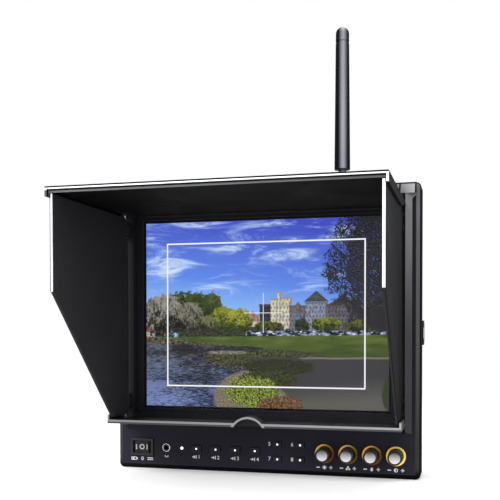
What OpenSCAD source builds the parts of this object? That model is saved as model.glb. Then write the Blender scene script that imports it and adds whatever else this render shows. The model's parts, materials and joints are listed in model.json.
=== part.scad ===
// Camera field monitor with a folding sun hood.
// X runs across the screen, -Y faces the viewer, +Z is up.
// The origin is the mouth of the tripod hole under the casing.

/* [Casing] */
// Width of the casing
case_w = 244.6; // [236:0.2:260]
// Height of the casing
case_h = 223; // [218:0.5:235]
// Depth of the casing, front to back
case_d = 44; // [42:0.5:60]
// Distance of the tripod hole behind the front face
tripod_back = 28; // [26:0.5:30]
// Depth of the front shell, up to the seam
front_shell_d = 20; // [18:0.5:24]
// Thickness of the side walls of both shells
wall = 2.6; // [2:0.1:3]
// Thickness of the front face
face_t = 2.4; // [2:0.1:2.8]
// Thickness of the rear cover's back
back_t = 3; // [2.8:0.1:4]
// Radius of the casing corners
corner_r = 4; // [3:0.5:6]
// Width of the sloped rim round the front face
rim_w = 3.9; // [2:0.1:5]
// Depth of the sloped rim behind the front face
rim_d = 3; // [2:0.1:4]
// How far the rear cover stays inside the front shell
rear_inset = 1.2; // [0.5:0.1:2]
// Width of the bevel round the back
rear_bevel = 4; // [2:0.5:6]

/* [Screen] */
// Width of the picture
picture_w = 197.1; // [190:0.1:198]
// Height of the picture
picture_h = 147.8; // [140:0.1:148.5]
// How far the picture's centre sits below the middle of its room
picture_drop = 0.7; // [0:0.1:2]
// Width of the black border round the picture
border_w = 1.8; // [1:0.1:2.4]
// Thickness of the cover glass
glass_t = 1; // [0.8:0.1:1.5]
// Thickness of the display cell
cell_t = 2; // [1.5:0.1:2.5]
// Thickness of the backlight
backlight_t = 4; // [3:0.1:5]
// Overlap of the glass behind the front face
glass_lap = 3; // [2:0.1:4]

/* [Hood frame] */
// How far the hood frame stands off the front face
frame_d = 8; // [7:0.1:10]
// Distance from the casing's side to the hood frame's foot
frame_in = 6.4; // [5:0.1:7.4]
// Width of the frame's sloped sides
frame_slope_w = 4.5; // [3:0.1:5]
// Distance from the casing's side to the end of the top band
band_in = 3.3; // [2.3:0.1:4.3]
// Height of the frame's lower edge above the casing bottom
frame_low_z = 35.3; // [33:0.1:36]
// Height of the top band that hooks on the casing
band_h = 9; // [7:0.1:10]
// How far the band stays below the casing's top
band_drop = 0.5; // [0.2:0.1:4]
// Distance from the casing's side to the frame's window
window_in = 17.7; // [17.3:0.1:20.3]
// Height of the frame window's lower edge
window_low_z = 46.4; // [45:0.1:48]
// Distance from the casing's top to the frame's window
window_drop = 20; // [19:0.1:22]

/* [Hood panels] */
// Thickness of the sheet that the hood panels are made of
sheet_t = 1.9; // [1.5:0.1:2.2]
// Distance from the casing's side to the side of the hood
hood_in = 10.6; // [9.3:0.1:10.9]
// How far the lid reaches past the side flaps
lid_past_flaps = 2.7; // [2:0.1:10]
// How far the lid's top face stays below the casing's top
lid_drop = 16.9; // [16:0.1:17.5]
// Depth of the skirts along the lid and the floor panel
skirt_h = 6.7; // [5:0.1:8]
// Thickness of the skirts
skirt_t = 1.5; // [1.2:0.1:1.6]
// How far the floor panel reaches in front of the casing face
floor_reach = 41.2; // [38:0.1:45]
// Height of the floor panel's lower face
floor_low_z = 41.1; // [40.6:0.1:41.4]
// How far the side flaps reach in front of the casing face
flap_reach = 127; // [118:0.1:127.5]
// Gap between the side flaps and the floor panel
flap_low_gap = 3; // [2.4:0.1:4]
// Gap between the side flaps and the lid
flap_top_gap = 2.6; // [2.4:0.1:4.2]
// Height at which the flaps' front edge ends and the slant starts
flap_slant_z = 137.5; // [120:0.5:150]
// Forward end of the flaps' short lower edge
flap_foot = 40; // [36:0.5:45]
// Gap between the side flaps and the skirts beside them
flap_side_gap = 0.65; // [0.45:0.05:1.25]
// Depth of the bright strips along the front edges
edge_strip_d = 0.8; // [0.6:0.1:1.2]
// Width of the finger scoop in the floor panel
scoop_w = 23; // [18:0.5:30]
// Height of the finger scoop
scoop_h = 5.8; // [4:0.1:7]

/* [Hinges] */
// Distance of the hinge lines in front of the frame
hinge_gap = 3.2; // [3:0.1:3.5]
// Radius of the hinge pins
pin_r = 0.8; // [0.7:0.05:1]
// Radius of the hinge barrels, which the pins run through
barrel_r = 1.9; // [1.7:0.1:2]
// Length of the flap hinge barrels
flap_barrel_h = 7; // [6:0.5:9]
// Length of the fixed ears on each side of a barrel
ear_h = 2.5; // [2:0.1:3]
// Length of the lid and floor hinge barrels
lid_barrel_w = 14; // [10:1:20]
// Distance of the lid and floor hinges from the middle
lid_hinge_x = 78; // [60:1:95]
// Gap between pieces that pass each other
clearance = 0.3; // [0.25:0.05:0.5]
// Radial play of a pin that turns in its hole
running_play = 0.05; // [0.03:0.01:0.08]

/* [Controls] */
// Height of the control row above the casing bottom
row_z = 17.6; // [16:0.1:20]
// Distance of the power rocker's centre from the casing's left side
rocker_in = 21.3; // [19.3:0.1:24.3]
// Width of the rocker's frame
rocker_w = 19.3; // [18:0.1:21]
// Height of the rocker's frame
rocker_h = 14; // [13:0.1:15]
// Radius of the headphone socket's hole
jack_hole_r = 1.75; // [1.7:0.01:1.8]
// Radius of the status lamp
lamp_r = 1.2; // [1:0.1:1.6]
// How far the lamp sits right of the middle between its neighbours
lamp_shift = 0.8; // [-1.5:0.1:2.5]
// Spacing of the input buttons
input_pitch = 16.2; // [15:0.1:17]
// Width of an input button
input_w = 7.6; // [6:0.1:9]
// Height of an input button
input_h = 5.2; // [4:0.1:6]
// Extra room for the labels left of the function buttons
label_room = 2.9; // [1:0.1:5]
// Column spacing of the function buttons
function_pitch = 18.2; // [17:0.1:19]
// Row spacing of the function buttons
function_rise = 11.6; // [10:0.1:13]
// Width of a function button
function_w = 6.2; // [5:0.1:7.5]
// Height of a function button
function_h = 4.3; // [3.5:0.1:5.5]
// Stroke of every push button
button_travel = 0.8; // [0.6:0.05:1]
// How far the buttons stand out of the face at rest
button_proud = 1.2; // [1.1:0.1:1.6]
// Distance of the last knob's centre from the casing's right side
knob_in = 18.1; // [16.7:0.1:19.7]
// Spacing of the knobs
knob_pitch = 18.2; // [17.5:0.1:18.6]
// Radius of the coloured ring at a knob's foot
ring_r = 7.5; // [7:0.1:8]
// Radius of a knob's body
knob_r = 5.5; // [5:0.1:5.6]
// Radius of a knob's metal cap
cap_r = 4.5; // [4:0.1:4.8]
// How far a knob stands out of the face
knob_len = 10.6; // [9:0.1:12]
// Radius of the shafts that carry the knobs
shaft_r = 3; // [2.5:0.1:3]

/* [Antenna] */
// Distance of the antenna from the middle
antenna_x = 57.9; // [50:0.1:65]
// Height of the antenna's tip above the casing top
antenna_h = 131.2; // [110:0.1:150]
// Radius of the antenna at its foot
antenna_foot_r = 6.3; // [5.5:0.1:7]
// Radius of the antenna at its tip
antenna_tip_r = 5.3; // [4.5:0.1:6]
// Height of the antenna's tilt pivot above the casing top
pivot_h = 11.5; // [11.2:0.1:11.6]
// Height of the antenna's foot collar above the casing top
collar_h = 18; // [17.5:0.1:20]

/* [Mounts] */
// Hole radius of the tripod and bracket threads
tripod_r = 3.175; // [3.1:0.005:3.25]
// Depth of the tripod and bracket threads
tripod_depth = 9; // [7:0.5:10]
// Radius of the round bosses on the casing sides
boss_r = 9.6; // [8:0.1:11]
// How far the side bosses stand out
boss_out = 1.8; // [1.5:0.1:3]
// Height of the side bosses
boss_z = 110.4; // [105:0.1:115]
// Spacing of the four rear screw holes
rear_pitch = 75; // [75:25:100]
// Radius of the rear screw holes
rear_hole_r = 2; // [1.9:0.05:2.1]

/* [Hidden] */

// Roundness of small holes and of large turned shapes
hole_fn = 48;
turn_fn = 64;
hull_fn = 32;
// A cut reaches this far past the face it opens
cut = 1;
// Shapes of one piece reach this far into each other, so that they are one solid
join = 0.1;
// A slice this thin marks the end of a shape that is stretched between two outlines
slice = 0.1;

// Y of the front face, and the Y of a place a distance in front of it
front_y = -tripod_back;
back_y = front_y + case_d;
seam_y = front_y + front_shell_d;
function ahead(d) = front_y - d;

// Boards behind the screen and behind the control row
board_t = 1.6;
board_gap = 2.6;
board_post_r = 2.5;
board_post_in = 6;
main_board_w = 150;
main_board_h = 110;
chip_w = 18;
chip_h = 18;
chip_t = 1.6;
chip_pitch = 34;
chip_in = 12;
control_board_in = 8;
control_board_y = front_y + control_board_in;
control_board_h = 26;
control_board_up = 0.4;
control_board_low_z = row_z - control_board_h / 2 + control_board_up;
control_board_top_z = control_board_low_z + control_board_h;
board_past_lamp = 5.1;
board_past_knob = 2.8;

// Screen stack, front to back
picture_z = (control_board_top_z + case_h - wall) / 2 - picture_drop;
view_w = picture_w + 2 * border_w;
view_h = picture_h + 2 * border_w;
glass_y = front_y + face_t;
cell_y = glass_y + glass_t;
backlight_y = cell_y + cell_t;
tray_y = backlight_y + backlight_t;
tray_t = 0.8;
tray_gap = 0.2;

board_y = tray_y + tray_t + board_gap;

// Hood frame
frame_half_w = case_w / 2 - frame_in;
frame_front_half_w = frame_half_w - frame_slope_w;
frame_slope_d = 0.8 * frame_slope_w;
frame_foot_d = 3;
frame_foot_h = 3;
band_half_w = case_w / 2 - band_in;
band_top_z = case_h - band_drop;
band_low_z = band_top_z - band_h;
band_crest_d = 1;
window_half_w = case_w / 2 - window_in;
window_top_z = case_h - window_drop;
catch_in = 13.5;
catch_x = band_half_w - catch_in;
catch_half_w = 1.2;
catch_slits = [-catch_half_w, catch_half_w];
catch_slit = 0.7;
catch_up = 1.5;
catch_d = 2.5;

// Hood panels
hood_half_w = case_w / 2 - hood_in;
lid_reach = flap_reach + lid_past_flaps;
lid_top_z = case_h - lid_drop;
lid_low_z = lid_top_z - sheet_t;
floor_top_z = floor_low_z + sheet_t;
flap_low_z = floor_top_z + flap_low_gap;
flap_top_z = lid_low_z - flap_top_gap;
flap_hinge_x = hood_half_w - skirt_t - flap_side_gap - sheet_t / 2;

// Hinges of the hood
flap_ear_in = 3.4;
flap_fold_gap = 0.2;
left_hinge_d = frame_d + hinge_gap;
right_hinge_d = left_hinge_d + sheet_t + clearance + flap_fold_gap;
flap_barrel_zs = [flap_low_z + flap_ear_in + ear_h, flap_top_z - flap_ear_in - ear_h - flap_barrel_h];
lid_hinge_z = lid_top_z + barrel_r + clearance;
floor_hinge_z = floor_low_z - barrel_r - clearance;
panel_rear = frame_d + 2 * clearance;
leaf_sink = 0.5;
skirt_rear = 12.7;
skirt_full = 38;
floor_skirt_ramp = 7;
lip_h = 1.9;
lip_t = 1.5;
lip_in = 2.2;
floor_lip_h = 1;
flap_rear_gap = 0.2;
flap_root = 1;
bump_in = 4;
bump_h = 1.3;
bump_w = 8;
bump_ramp = 1;
flap_notch_d = 3.5;
flap_notch_h = 4.5;
scoop_r = (scoop_w * scoop_w / 4 + scoop_h * scoop_h) / (2 * scoop_h);
scoop_inner_r = scoop_r - skirt_t;
scoop_centre_z = floor_top_z + scoop_h - scoop_r;
scoop_d = 10;

// Places of the controls: equal gaps share out the width that the controls leave free
jack_rim = 1.1;
jack_ring_r = jack_hole_r + jack_rim;
rocker_x = -case_w / 2 + rocker_in;
last_knob_x = case_w / 2 - knob_in;
// Four of a kind stand in a row, so the last is three steps from the first
steps = 3;
row_gaps = 5;
row_filled = rocker_w / 2 + 2 * jack_ring_r + 2 * lamp_r + steps * input_pitch + input_w
             + label_room + function_pitch + function_w + ring_r + steps * knob_pitch;
row_gap = (last_knob_x - rocker_x - row_filled) / row_gaps;
jack_x = rocker_x + rocker_w / 2 + row_gap + jack_ring_r;
lamp_x = jack_x + jack_ring_r + row_gap + lamp_r + lamp_shift;
input_x = jack_x + jack_ring_r + 2 * row_gap + 2 * lamp_r + input_w / 2;
input_xs = [for (i = [0:steps]) input_x + i * input_pitch];
function_x = input_xs[steps] + input_w / 2 + row_gap + label_room + function_w / 2;
function_xs = [for (i = [0:1]) function_x + i * function_pitch];
function_zs = [for (i = [0:1]) row_z + (0.5 - i) * function_rise];
knob_xs = [for (i = [0:steps]) last_knob_x - (steps - i) * knob_pitch];

// Controls
grip_play = 0.01;
insert_wall = 1.6;
jack_depth = 14;
jack_floor = 1.5;
jack_proud = 0.6;
jack_flange = 1.5;
jack_flange_t = 2;
lamp_proud = 0.4;
lamp_flange = 0.6;
lamp_flange_t = 1;
ring_t = 1;
ring_wall = 1.6;
cap_t = 1.2;
cap_sink = 0.8;
cap_wall = 0.5;
knob_chamfer_h = 0.8;
knob_foot = 0.5;
encoder_half = 6;
bush_r = 3.5;
shaft_floor = 1.2;
shaft_end_gap = 0.4;
button_flange = 1.2;
button_flange_t = 1;
button_stem_r = 1.2;
switch_h = 3;
switch_half_w = 2.2;
switch_half_h = 1.8;
switch_gap = 0.1;
rocker_lip = 2;
rocker_lip_t = 1.5;
rocker_wall = 1.2;
rocker_depth = 14;
rocker_room = 9;
rocker_pin_r = 1;
rocker_axis_in = 3;
rocker_valley = 3.5;
rocker_peak = 4.8;
rocker_heel = 2.5;
rocker_pin_gap = 0.2;
rocker_slope = 0.3;
rocker_hole_w = rocker_w - 2 * rocker_lip;
rocker_hole_h = rocker_h - 2 * rocker_lip;
rocker_body_w = rocker_hole_w + 2 * rocker_wall;
rocker_body_h = rocker_hole_h + 2 * rocker_wall;

// Casing screws and their bosses
screw_r = 1.4;
screw_play = 0.2;
screw_grip = 6;
screw_head_r = 2.7;
screw_head_h = 1.6;
screw_boss_r = 4;
screw_in = 10;
hex_r = 1.1;
hex_d = 0.9;
screw_low_z = row_z - rocker_body_h / 2 - screw_boss_r - clearance;
screw_xs = [-1, 1] * (case_w / 2 - screw_in);
screw_zs = [screw_low_z, case_h - screw_in];

// Rear of the casing
rear_w = case_w - 2 * rear_inset;
rear_low_z = 0;
rear_top_z = case_h - rear_inset;
rear_centre_z = case_h / 2;
back_inner_y = back_y - back_t;
insert_r = tripod_r + insert_wall;
insert_depth = 6;
antenna_in = 12;
antenna_y = back_y - antenna_in;
socket_r = 3.1;
socket_h = 7;
socket_in = 6;
socket_pin_r = 0.7;
socket_floor = 2;
socket_flange_t = 1.5;
nut_h = 2.5;
nut_r = 5.5;
foot_r = 6;
foot_h = 7.5;
foot_sink = 0.5;
tongue_half = 2.4;
ear_t = 2.5;
tongue_r = 3.2;
tongue_sink = 1;
antenna_pin_r = 1.2;
groove_drop = 11.5;
groove_w = 1.4;
groove_in = 0.4;
video_edge_in = 26.3;
video_pitch = 20;
power_pitch = 26;
video_xs = [for (i = [0:1]) -case_w / 2 + video_edge_in + i * video_pitch];
video_z = 40;
video_body_r = 6.3;
video_body_t = 1.5;
video_shell_r = 4.8;
video_wall = 0.8;
video_len = 9;
video_in = 3;
video_lug = 0.9;
video_lug_d = 6.5;
video_pin_r = 1;
video_pin_d = 6;
socket_base = 1;
power_x = video_xs[1] + power_pitch;
power_hole_r = 2.9;
power_shell_r = 4.6;
power_in = 6;
power_floor = 2;
power_pin_r = 1;
power_pin_in = 1.5;
vent_count = 7;
vent_pitch = 5;
vent_gap = 2;
vent_w = 46;
vent_in = 38.3;
vent_x = case_w / 2 - vent_in;
vent_drop = 73;
vent_z = case_h - vent_drop;
speaker_x = vent_x;
speaker_z = 62;
speaker_r = 14;
speaker_rim_t = 4;
magnet_r = 8.4;
magnet_t = 5;
grille_r = 8.4;
receiver_x = 40;
receiver_w = 64;
receiver_h = 44;
receiver_t = 9;
receiver_up = 2;
battery_w = 46;
battery_h = 74;
battery_t = 4;
battery_z = rear_centre_z;
battery_floor = 1;
groove_in_x = 4;
groove_half = 1.6;
groove_floor = 1.4;
groove_low = 14;
groove_top = 12;
latch_w = 16;
latch_h = 8;
latch_travel = 4;
latch_up = 3;
latch_grip_h = 3;
latch_grip_d = 1.4;
contact_w = 3;
contact_t = 1;
contact_low = 26;
contact_top = 6;
contact_xs = [-11, 0, 11];
boss_gap = 0.6;
boss_y = seam_y + boss_r + boss_gap;

// ---- Shared shapes ----

// Upright plate with rounded corners: width and height about the casing's own middle
module upright_plate(half_w, low_z, top_z, y0, y1, r, fn = turn_fn) {
  translate([0, y1, 0])
    rotate([90, 0, 0])
      linear_extrude(y1 - y0)
        union() {
          translate([-half_w + r, low_z]) square([2 * (half_w - r), top_z - low_z]);
          translate([-half_w, low_z + r]) square([2 * half_w, top_z - low_z - 2 * r]);
          for (x = [-half_w + r, half_w - r], z = [low_z + r, top_z - r])
            translate([x, z]) circle(r, $fn = fn);
        }
}

// Box given by its two corners
module block(low, high) {
  translate(low) cube(high - low);
}

// Rod along Y, from the nearer to the farther place
module rod_y(x, z, y0, y1, r, fn = hole_fn) {
  translate([x, y1, z]) rotate([90, 0, 0]) cylinder(h = y1 - y0, r = r, $fn = fn);
}

// Rod along X
module rod_x(x0, x1, y, z, r, fn = hole_fn) {
  translate([x0, y, z]) rotate([0, 90, 0]) cylinder(h = x1 - x0, r = r, $fn = fn);
}

// Rod along Z
module rod_z(x, y, z0, z1, r, fn = hole_fn) {
  translate([x, y, z0]) cylinder(h = z1 - z0, r = r, $fn = fn);
}

// Outline drawn as [distance ahead of the face, Z], made a sheet between two X places
module side_sheet(points, x0, x1) {
  translate([x0, 0, 0])
    rotate([90, 0, 90])
      linear_extrude(x1 - x0)
        polygon([for (p = points) [ahead(p[0]), p[1]]]);
}

// Outline drawn as [X, distance ahead of the face], made a bar between two heights
module plan_bar(points, z0, z1) {
  translate([0, 0, z0])
    linear_extrude(z1 - z0)
      polygon([for (p = points) [p[0], ahead(p[1])]]);
}

// ---- Casing ----

module front_casing() {
  half = case_w / 2;
  color([0.14, 0.14, 0.16]) {
    difference() {
      union() {
        hull() {
          upright_plate(half - rim_w, rim_w, case_h - rim_w, front_y, front_y + slice, 1, hull_fn);
          upright_plate(half, 0, case_h, front_y + rim_d, front_y + rim_d + slice, corner_r, hull_fn);
        }
        upright_plate(half, 0, case_h, front_y + rim_d, seam_y, corner_r);
      }
      upright_plate(half - wall, wall, case_h - wall, front_y + face_t, seam_y + cut, corner_r - 1);
      // Window for the screen
      block([-view_w / 2, front_y - cut, picture_z - view_h / 2],
            [view_w / 2, glass_y + cut, picture_z + view_h / 2]);
      control_openings();
    }
    for (x = screw_xs, z = screw_zs) screw_boss(x, z);
  }
}

// Openings in the face for the control row
module control_openings() {
  y0 = front_y - cut;
  y1 = glass_y + cut;
  block([rocker_x - rocker_body_w / 2, y0, row_z - rocker_body_h / 2],
        [rocker_x + rocker_body_w / 2, y1, row_z + rocker_body_h / 2]);
  rod_y(jack_x, row_z, y0, y1, jack_hole_r + insert_wall);
  rod_y(lamp_x, row_z, y0, y1, lamp_r);
  for (x = input_xs) button_hole(x, row_z, input_w, input_h);
  for (x = function_xs, z = function_zs) button_hole(x, z, function_w, function_h);
  for (x = knob_xs) rod_y(x, row_z, y0, y1, bush_r);
}

module button_hole(x, z, w, h) {
  block([x - w / 2 - clearance, front_y - cut, z - h / 2 - clearance],
        [x + w / 2 + clearance, glass_y + cut, z + h / 2 + clearance]);
}

// Post inside the front shell that takes a casing screw
module screw_boss(x, z) {
  difference() {
    rod_y(x, z, glass_y, seam_y, screw_boss_r);
    rod_y(x, z, seam_y - screw_grip, seam_y + cut, screw_r);
  }
}

module rear_cover() {
  half = rear_w / 2;
  color([0.12, 0.12, 0.14]) {
    difference() {
      union() {
        upright_plate(half, rear_low_z, rear_top_z, seam_y, back_y - rear_bevel, corner_r);
        hull() {
          upright_plate(half, rear_low_z, rear_top_z,
                        back_y - rear_bevel - slice, back_y - rear_bevel, corner_r, hull_fn);
          upright_plate(half - rear_bevel, rear_low_z + rear_bevel, rear_top_z - rear_bevel,
                        back_y - slice, back_y, 1, hull_fn);
        }
      }
      upright_plate(half - wall, wall, rear_top_z - wall, seam_y - cut, back_inner_y, corner_r - 1);
      vent_slots();
      rear_openings();
    }
    for (x = screw_xs, z = screw_zs) rear_post(x, z);
    for (side = [-1, 1]) side_boss(side);
  }
}

// Post inside the rear cover that a casing screw passes through
module rear_post(x, z) {
  difference() {
    rod_y(x, z, seam_y, back_inner_y, screw_boss_r);
    rod_y(x, z, seam_y - cut, back_inner_y + cut, screw_r + screw_play);
  }
}

// Round boss on one side of the cover, with the hole for its threaded insert
module side_boss(side) {
  face = side * rear_w / 2;
  outer = face + side * boss_out;
  difference() {
    rod_x(min(face, outer), max(face, outer), boss_y, boss_z, boss_r, turn_fn);
    rod_x(min(face, outer) - cut, max(face, outer) + cut, boss_y, boss_z, insert_r);
  }
}

// Two groups of slots in the back that let the warm air out, and one over the speaker
module vent_slots() {
  for (side = [-1, 1], i = [0:vent_count - 1])
    block([side * vent_x - vent_w / 2, back_inner_y - cut, vent_z + i * vent_pitch],
          [side * vent_x + vent_w / 2, back_y + cut, vent_z + i * vent_pitch + vent_gap]);
  for (i = [-2:2])
    block([speaker_x - grille_r, back_inner_y - cut, speaker_z + i * vent_pitch - vent_gap / 2],
          [speaker_x + grille_r, back_y + cut, speaker_z + i * vent_pitch + vent_gap / 2]);
}

// Holes for the screws, inserts and sockets
module rear_openings() {
  for (x = screw_xs, z = screw_zs) {
    rod_y(x, z, back_inner_y - cut, back_y + cut, screw_r + screw_play);
    rod_y(x, z, back_y - screw_head_h, back_y + cut, screw_head_r + screw_play);
  }
  for (x = [-1, 1], z = [-1, 1])
    rod_y(x * rear_pitch / 2, rear_centre_z + z * rear_pitch / 2, back_inner_y - cut, back_y + cut,
          rear_hole_r + insert_wall);
  for (side = [-1, 1])
    rod_x(side * rear_w / 2 - wall - cut, side * rear_w / 2 + wall + cut, boss_y, boss_z, insert_r);
  rod_z(0, 0, -cut, wall + cut, insert_r);
  for (x = video_xs) rod_y(x, video_z, back_inner_y - cut, back_y + cut, video_shell_r);
  rod_y(power_x, video_z, back_inner_y - cut, back_y + cut, power_shell_r);
  rod_z(antenna_x, antenna_y, rear_top_z - wall - cut, rear_top_z + cut, socket_r);
}

module case_screws() {
  color([0.2, 0.2, 0.21])
    for (x = screw_xs, z = screw_zs) {
      difference() {
        rod_y(x, z, back_y - screw_head_h, back_y, screw_head_r);
        rod_y(x, z, back_y - hex_d, back_y + cut, hex_r, 6);
      }
      rod_y(x, z, seam_y - screw_grip, back_y - screw_head_h, screw_r);
    }
}

// ---- Screen ----

// Sheet behind the window, inset from the glass's edge
module screen_sheet(y0, t, inset) {
  half = view_w / 2 + glass_lap - inset;
  half_h = view_h / 2 + glass_lap - inset;
  block([-half, y0, picture_z - half_h], [half, y0 + t, picture_z + half_h]);
}

module cover_glass() {
  color([0.1, 0.12, 0.16, 0.5]) screen_sheet(glass_y, glass_t, 0);
}

module display_cell() {
  color([0.35, 0.5, 0.75]) screen_sheet(cell_y, cell_t, tray_gap);
}

module backlight() {
  color([0.85, 0.86, 0.88]) screen_sheet(backlight_y, backlight_t, tray_gap);
}

// Metal tray that holds the glass, cell and backlight against the front face
module screen_tray() {
  color([0.6, 0.62, 0.64]) {
    difference() {
      screen_sheet(glass_y, tray_y + tray_t - glass_y, -tray_gap - tray_t);
      screen_sheet(glass_y - cut, tray_y - glass_y + cut, -tray_gap);
    }
    for (x = [-1, 1], z = [-1, 1])
      rod_y(x * (main_board_w / 2 - board_post_in), picture_z + z * (main_board_h / 2 - board_post_in),
            tray_y + tray_t, board_y, board_post_r);
  }
}

module main_board() {
  back = board_y + board_t;
  left = -main_board_w / 2;
  low = picture_z - main_board_h / 2;
  color([0.1, 0.36, 0.2]) block([left, board_y, low], [-left, back, low + main_board_h]);
  color([0.1, 0.1, 0.1])
    for (i = [0:steps])
      translate([left + chip_in + i * chip_pitch, back, low + chip_in]) cube([chip_w, chip_t, chip_h]);
}

// Board behind the control row, with a switch behind each button
module control_board() {
  color([0.1, 0.36, 0.2])
    block([lamp_x - board_past_lamp, control_board_y, control_board_low_z],
          [last_knob_x + board_past_knob, control_board_y + board_t, control_board_top_z]);
  color([0.15, 0.15, 0.15]) {
    for (x = input_xs) switch_body(x, row_z);
    for (x = function_xs, z = function_zs) switch_body(x, z);
  }
}

module switch_body(x, z) {
  block([x - switch_half_w, control_board_y - switch_h, z - switch_half_h],
        [x + switch_half_w, control_board_y, z + switch_half_h]);
}

module receiver_box() {
  y = board_y + board_t;
  color([0.72, 0.73, 0.75])
    translate([receiver_x - receiver_w / 2, y, picture_z + receiver_up])
      cube([receiver_w, receiver_t, receiver_h]);
}

module speaker() {
  rim_y = back_inner_y - speaker_rim_t;
  color([0.18, 0.18, 0.18]) {
    rod_y(speaker_x, speaker_z, rim_y, back_inner_y, speaker_r, turn_fn);
    rod_y(speaker_x, speaker_z, rim_y - magnet_t, rim_y, magnet_r, turn_fn);
  }
}

// ---- Control row ----

module rocker_housing() {
  y0 = front_y - rocker_lip_t;
  color([0.1, 0.1, 0.11])
    difference() {
      union() {
        block([rocker_x - rocker_w / 2, y0, row_z - rocker_h / 2],
              [rocker_x + rocker_w / 2, front_y, row_z + rocker_h / 2]);
        block([rocker_x - rocker_body_w / 2, y0, row_z - rocker_body_h / 2],
              [rocker_x + rocker_body_w / 2, front_y + rocker_depth, row_z + rocker_body_h / 2]);
      }
      block([rocker_x - rocker_hole_w / 2, y0 - cut, row_z - rocker_hole_h / 2],
            [rocker_x + rocker_hole_w / 2, front_y + rocker_room, row_z + rocker_hole_h / 2]);
      rod_z(rocker_x, front_y + rocker_axis_in, row_z - rocker_body_h / 2 - cut,
            row_z + rocker_body_h / 2 + cut, rocker_pin_r + running_play);
    }
}

// Three-position rocker: its two halves slope down to the middle
module power_rocker() {
  r = rocker_hole_w / 2 - clearance;
  half_h = rocker_hole_h / 2 - clearance;
  color([0.13, 0.13, 0.14]) {
    translate([rocker_x, front_y + rocker_axis_in, row_z - half_h])
      linear_extrude(2 * half_h)
        intersection() {
          circle(r, $fn = turn_fn);
          polygon([[-r, -rocker_peak - rocker_slope], [0, -rocker_valley], [r, -rocker_peak - rocker_slope],
                   [r, rocker_heel], [-r, rocker_heel]]);
        }
    rod_z(rocker_x, front_y + rocker_axis_in, row_z - rocker_body_h / 2 + rocker_pin_gap,
          row_z + rocker_body_h / 2 - rocker_pin_gap, rocker_pin_r);
  }
}

module headphone_socket() {
  color([0.78, 0.79, 0.8])
    difference() {
      union() {
        rod_y(jack_x, row_z, front_y, front_y + jack_depth, jack_hole_r + insert_wall);
        rod_y(jack_x, row_z, front_y - jack_proud, front_y, jack_ring_r);
        rod_y(jack_x, row_z, glass_y, glass_y + jack_flange_t, jack_hole_r + insert_wall + jack_flange);
      }
      rod_y(jack_x, row_z, front_y - jack_proud - cut, front_y + jack_depth - jack_floor, jack_hole_r);
    }
}

module status_lamp() {
  color([0.95, 0.97, 1]) {
    rod_y(lamp_x, row_z, front_y - lamp_proud, control_board_y, lamp_r);
    rod_y(lamp_x, row_z, glass_y, glass_y + lamp_flange_t, lamp_r + lamp_flange);
  }
}

// Cap, flange and stem of a push button
module push_button(x, z, w, h) {
  stop_y = glass_y + clearance;
  stem_y = control_board_y - switch_h - button_travel - switch_gap;
  color([0.16, 0.16, 0.17]) {
    block([x - w / 2, front_y - button_proud, z - h / 2], [x + w / 2, stop_y, z + h / 2]);
    block([x - w / 2 - button_flange, stop_y, z - h / 2 - button_flange],
          [x + w / 2 + button_flange, stop_y + button_flange_t, z + h / 2 + button_flange]);
    rod_y(x, z, stop_y + button_flange_t, stem_y, button_stem_r);
  }
}

module knob_rings() {
  color([0.8, 0.52, 0.18])
    for (x = knob_xs)
      difference() {
        rod_y(x, row_z, front_y - ring_t, front_y, ring_r, turn_fn);
        rod_y(x, row_z, front_y - ring_t - cut, front_y + cut, ring_r - ring_wall, turn_fn);
      }
}

// Encoder bodies between the face and the control board, each with its bush
module knob_encoders() {
  color([0.55, 0.56, 0.58])
    for (x = knob_xs)
      difference() {
        union() {
          block([x - encoder_half, glass_y, row_z - encoder_half],
                [x + encoder_half, control_board_y, row_z + encoder_half]);
          rod_y(x, row_z, front_y, glass_y, bush_r);
        }
        rod_y(x, row_z, front_y - cut, control_board_y - shaft_floor, shaft_r + running_play);
      }
}

// Knob with its shaft; the metal cap sits in the recess at its end
module knob(x) {
  y0 = front_y - knob_len;
  y1 = front_y - knob_foot;
  color([0.09, 0.09, 0.1])
    difference() {
      union() {
        rod_y(x, row_z, y0 + knob_chamfer_h, y1, knob_r, turn_fn);
        rod_y(x, row_z, y0, y0 + knob_chamfer_h, cap_r + cap_wall, turn_fn);
        rod_y(x, row_z, y1, control_board_y - shaft_floor - shaft_end_gap, shaft_r);
      }
      rod_y(x, row_z, y0 - cut, y0 + cap_sink, cap_r + grip_play, turn_fn);
    }
}

module knob_cap(x) {
  y1 = front_y - knob_len + cap_sink;
  color([0.8, 0.81, 0.83]) rod_y(x, row_z, y1 - cap_t, y1, cap_r, turn_fn);
}

// ---- Inserts and sockets ----

module threaded_ring(r, wall_t, h) {
  difference() {
    cylinder(h = h, r = r + wall_t, $fn = hole_fn);
    translate([0, 0, -cut]) cylinder(h = h + 2 * cut, r = r, $fn = hole_fn);
  }
}

module tripod_insert() {
  color([0.72, 0.73, 0.75]) threaded_ring(tripod_r, insert_wall, tripod_depth);
}

module side_inserts() {
  outer = rear_w / 2 + boss_out;
  color([0.72, 0.73, 0.75]) {
    translate([outer, boss_y, boss_z]) rotate([0, -90, 0]) threaded_ring(tripod_r, insert_wall, tripod_depth);
    translate([-outer, boss_y, boss_z]) rotate([0, 90, 0]) threaded_ring(tripod_r, insert_wall, tripod_depth);
  }
}

module rear_inserts() {
  color([0.75, 0.6, 0.3])
    for (x = [-1, 1], z = [-1, 1])
      translate([x * rear_pitch / 2, back_y, rear_centre_z + z * rear_pitch / 2])
        rotate([90, 0, 0]) threaded_ring(rear_hole_r, insert_wall, insert_depth);
}

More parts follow.
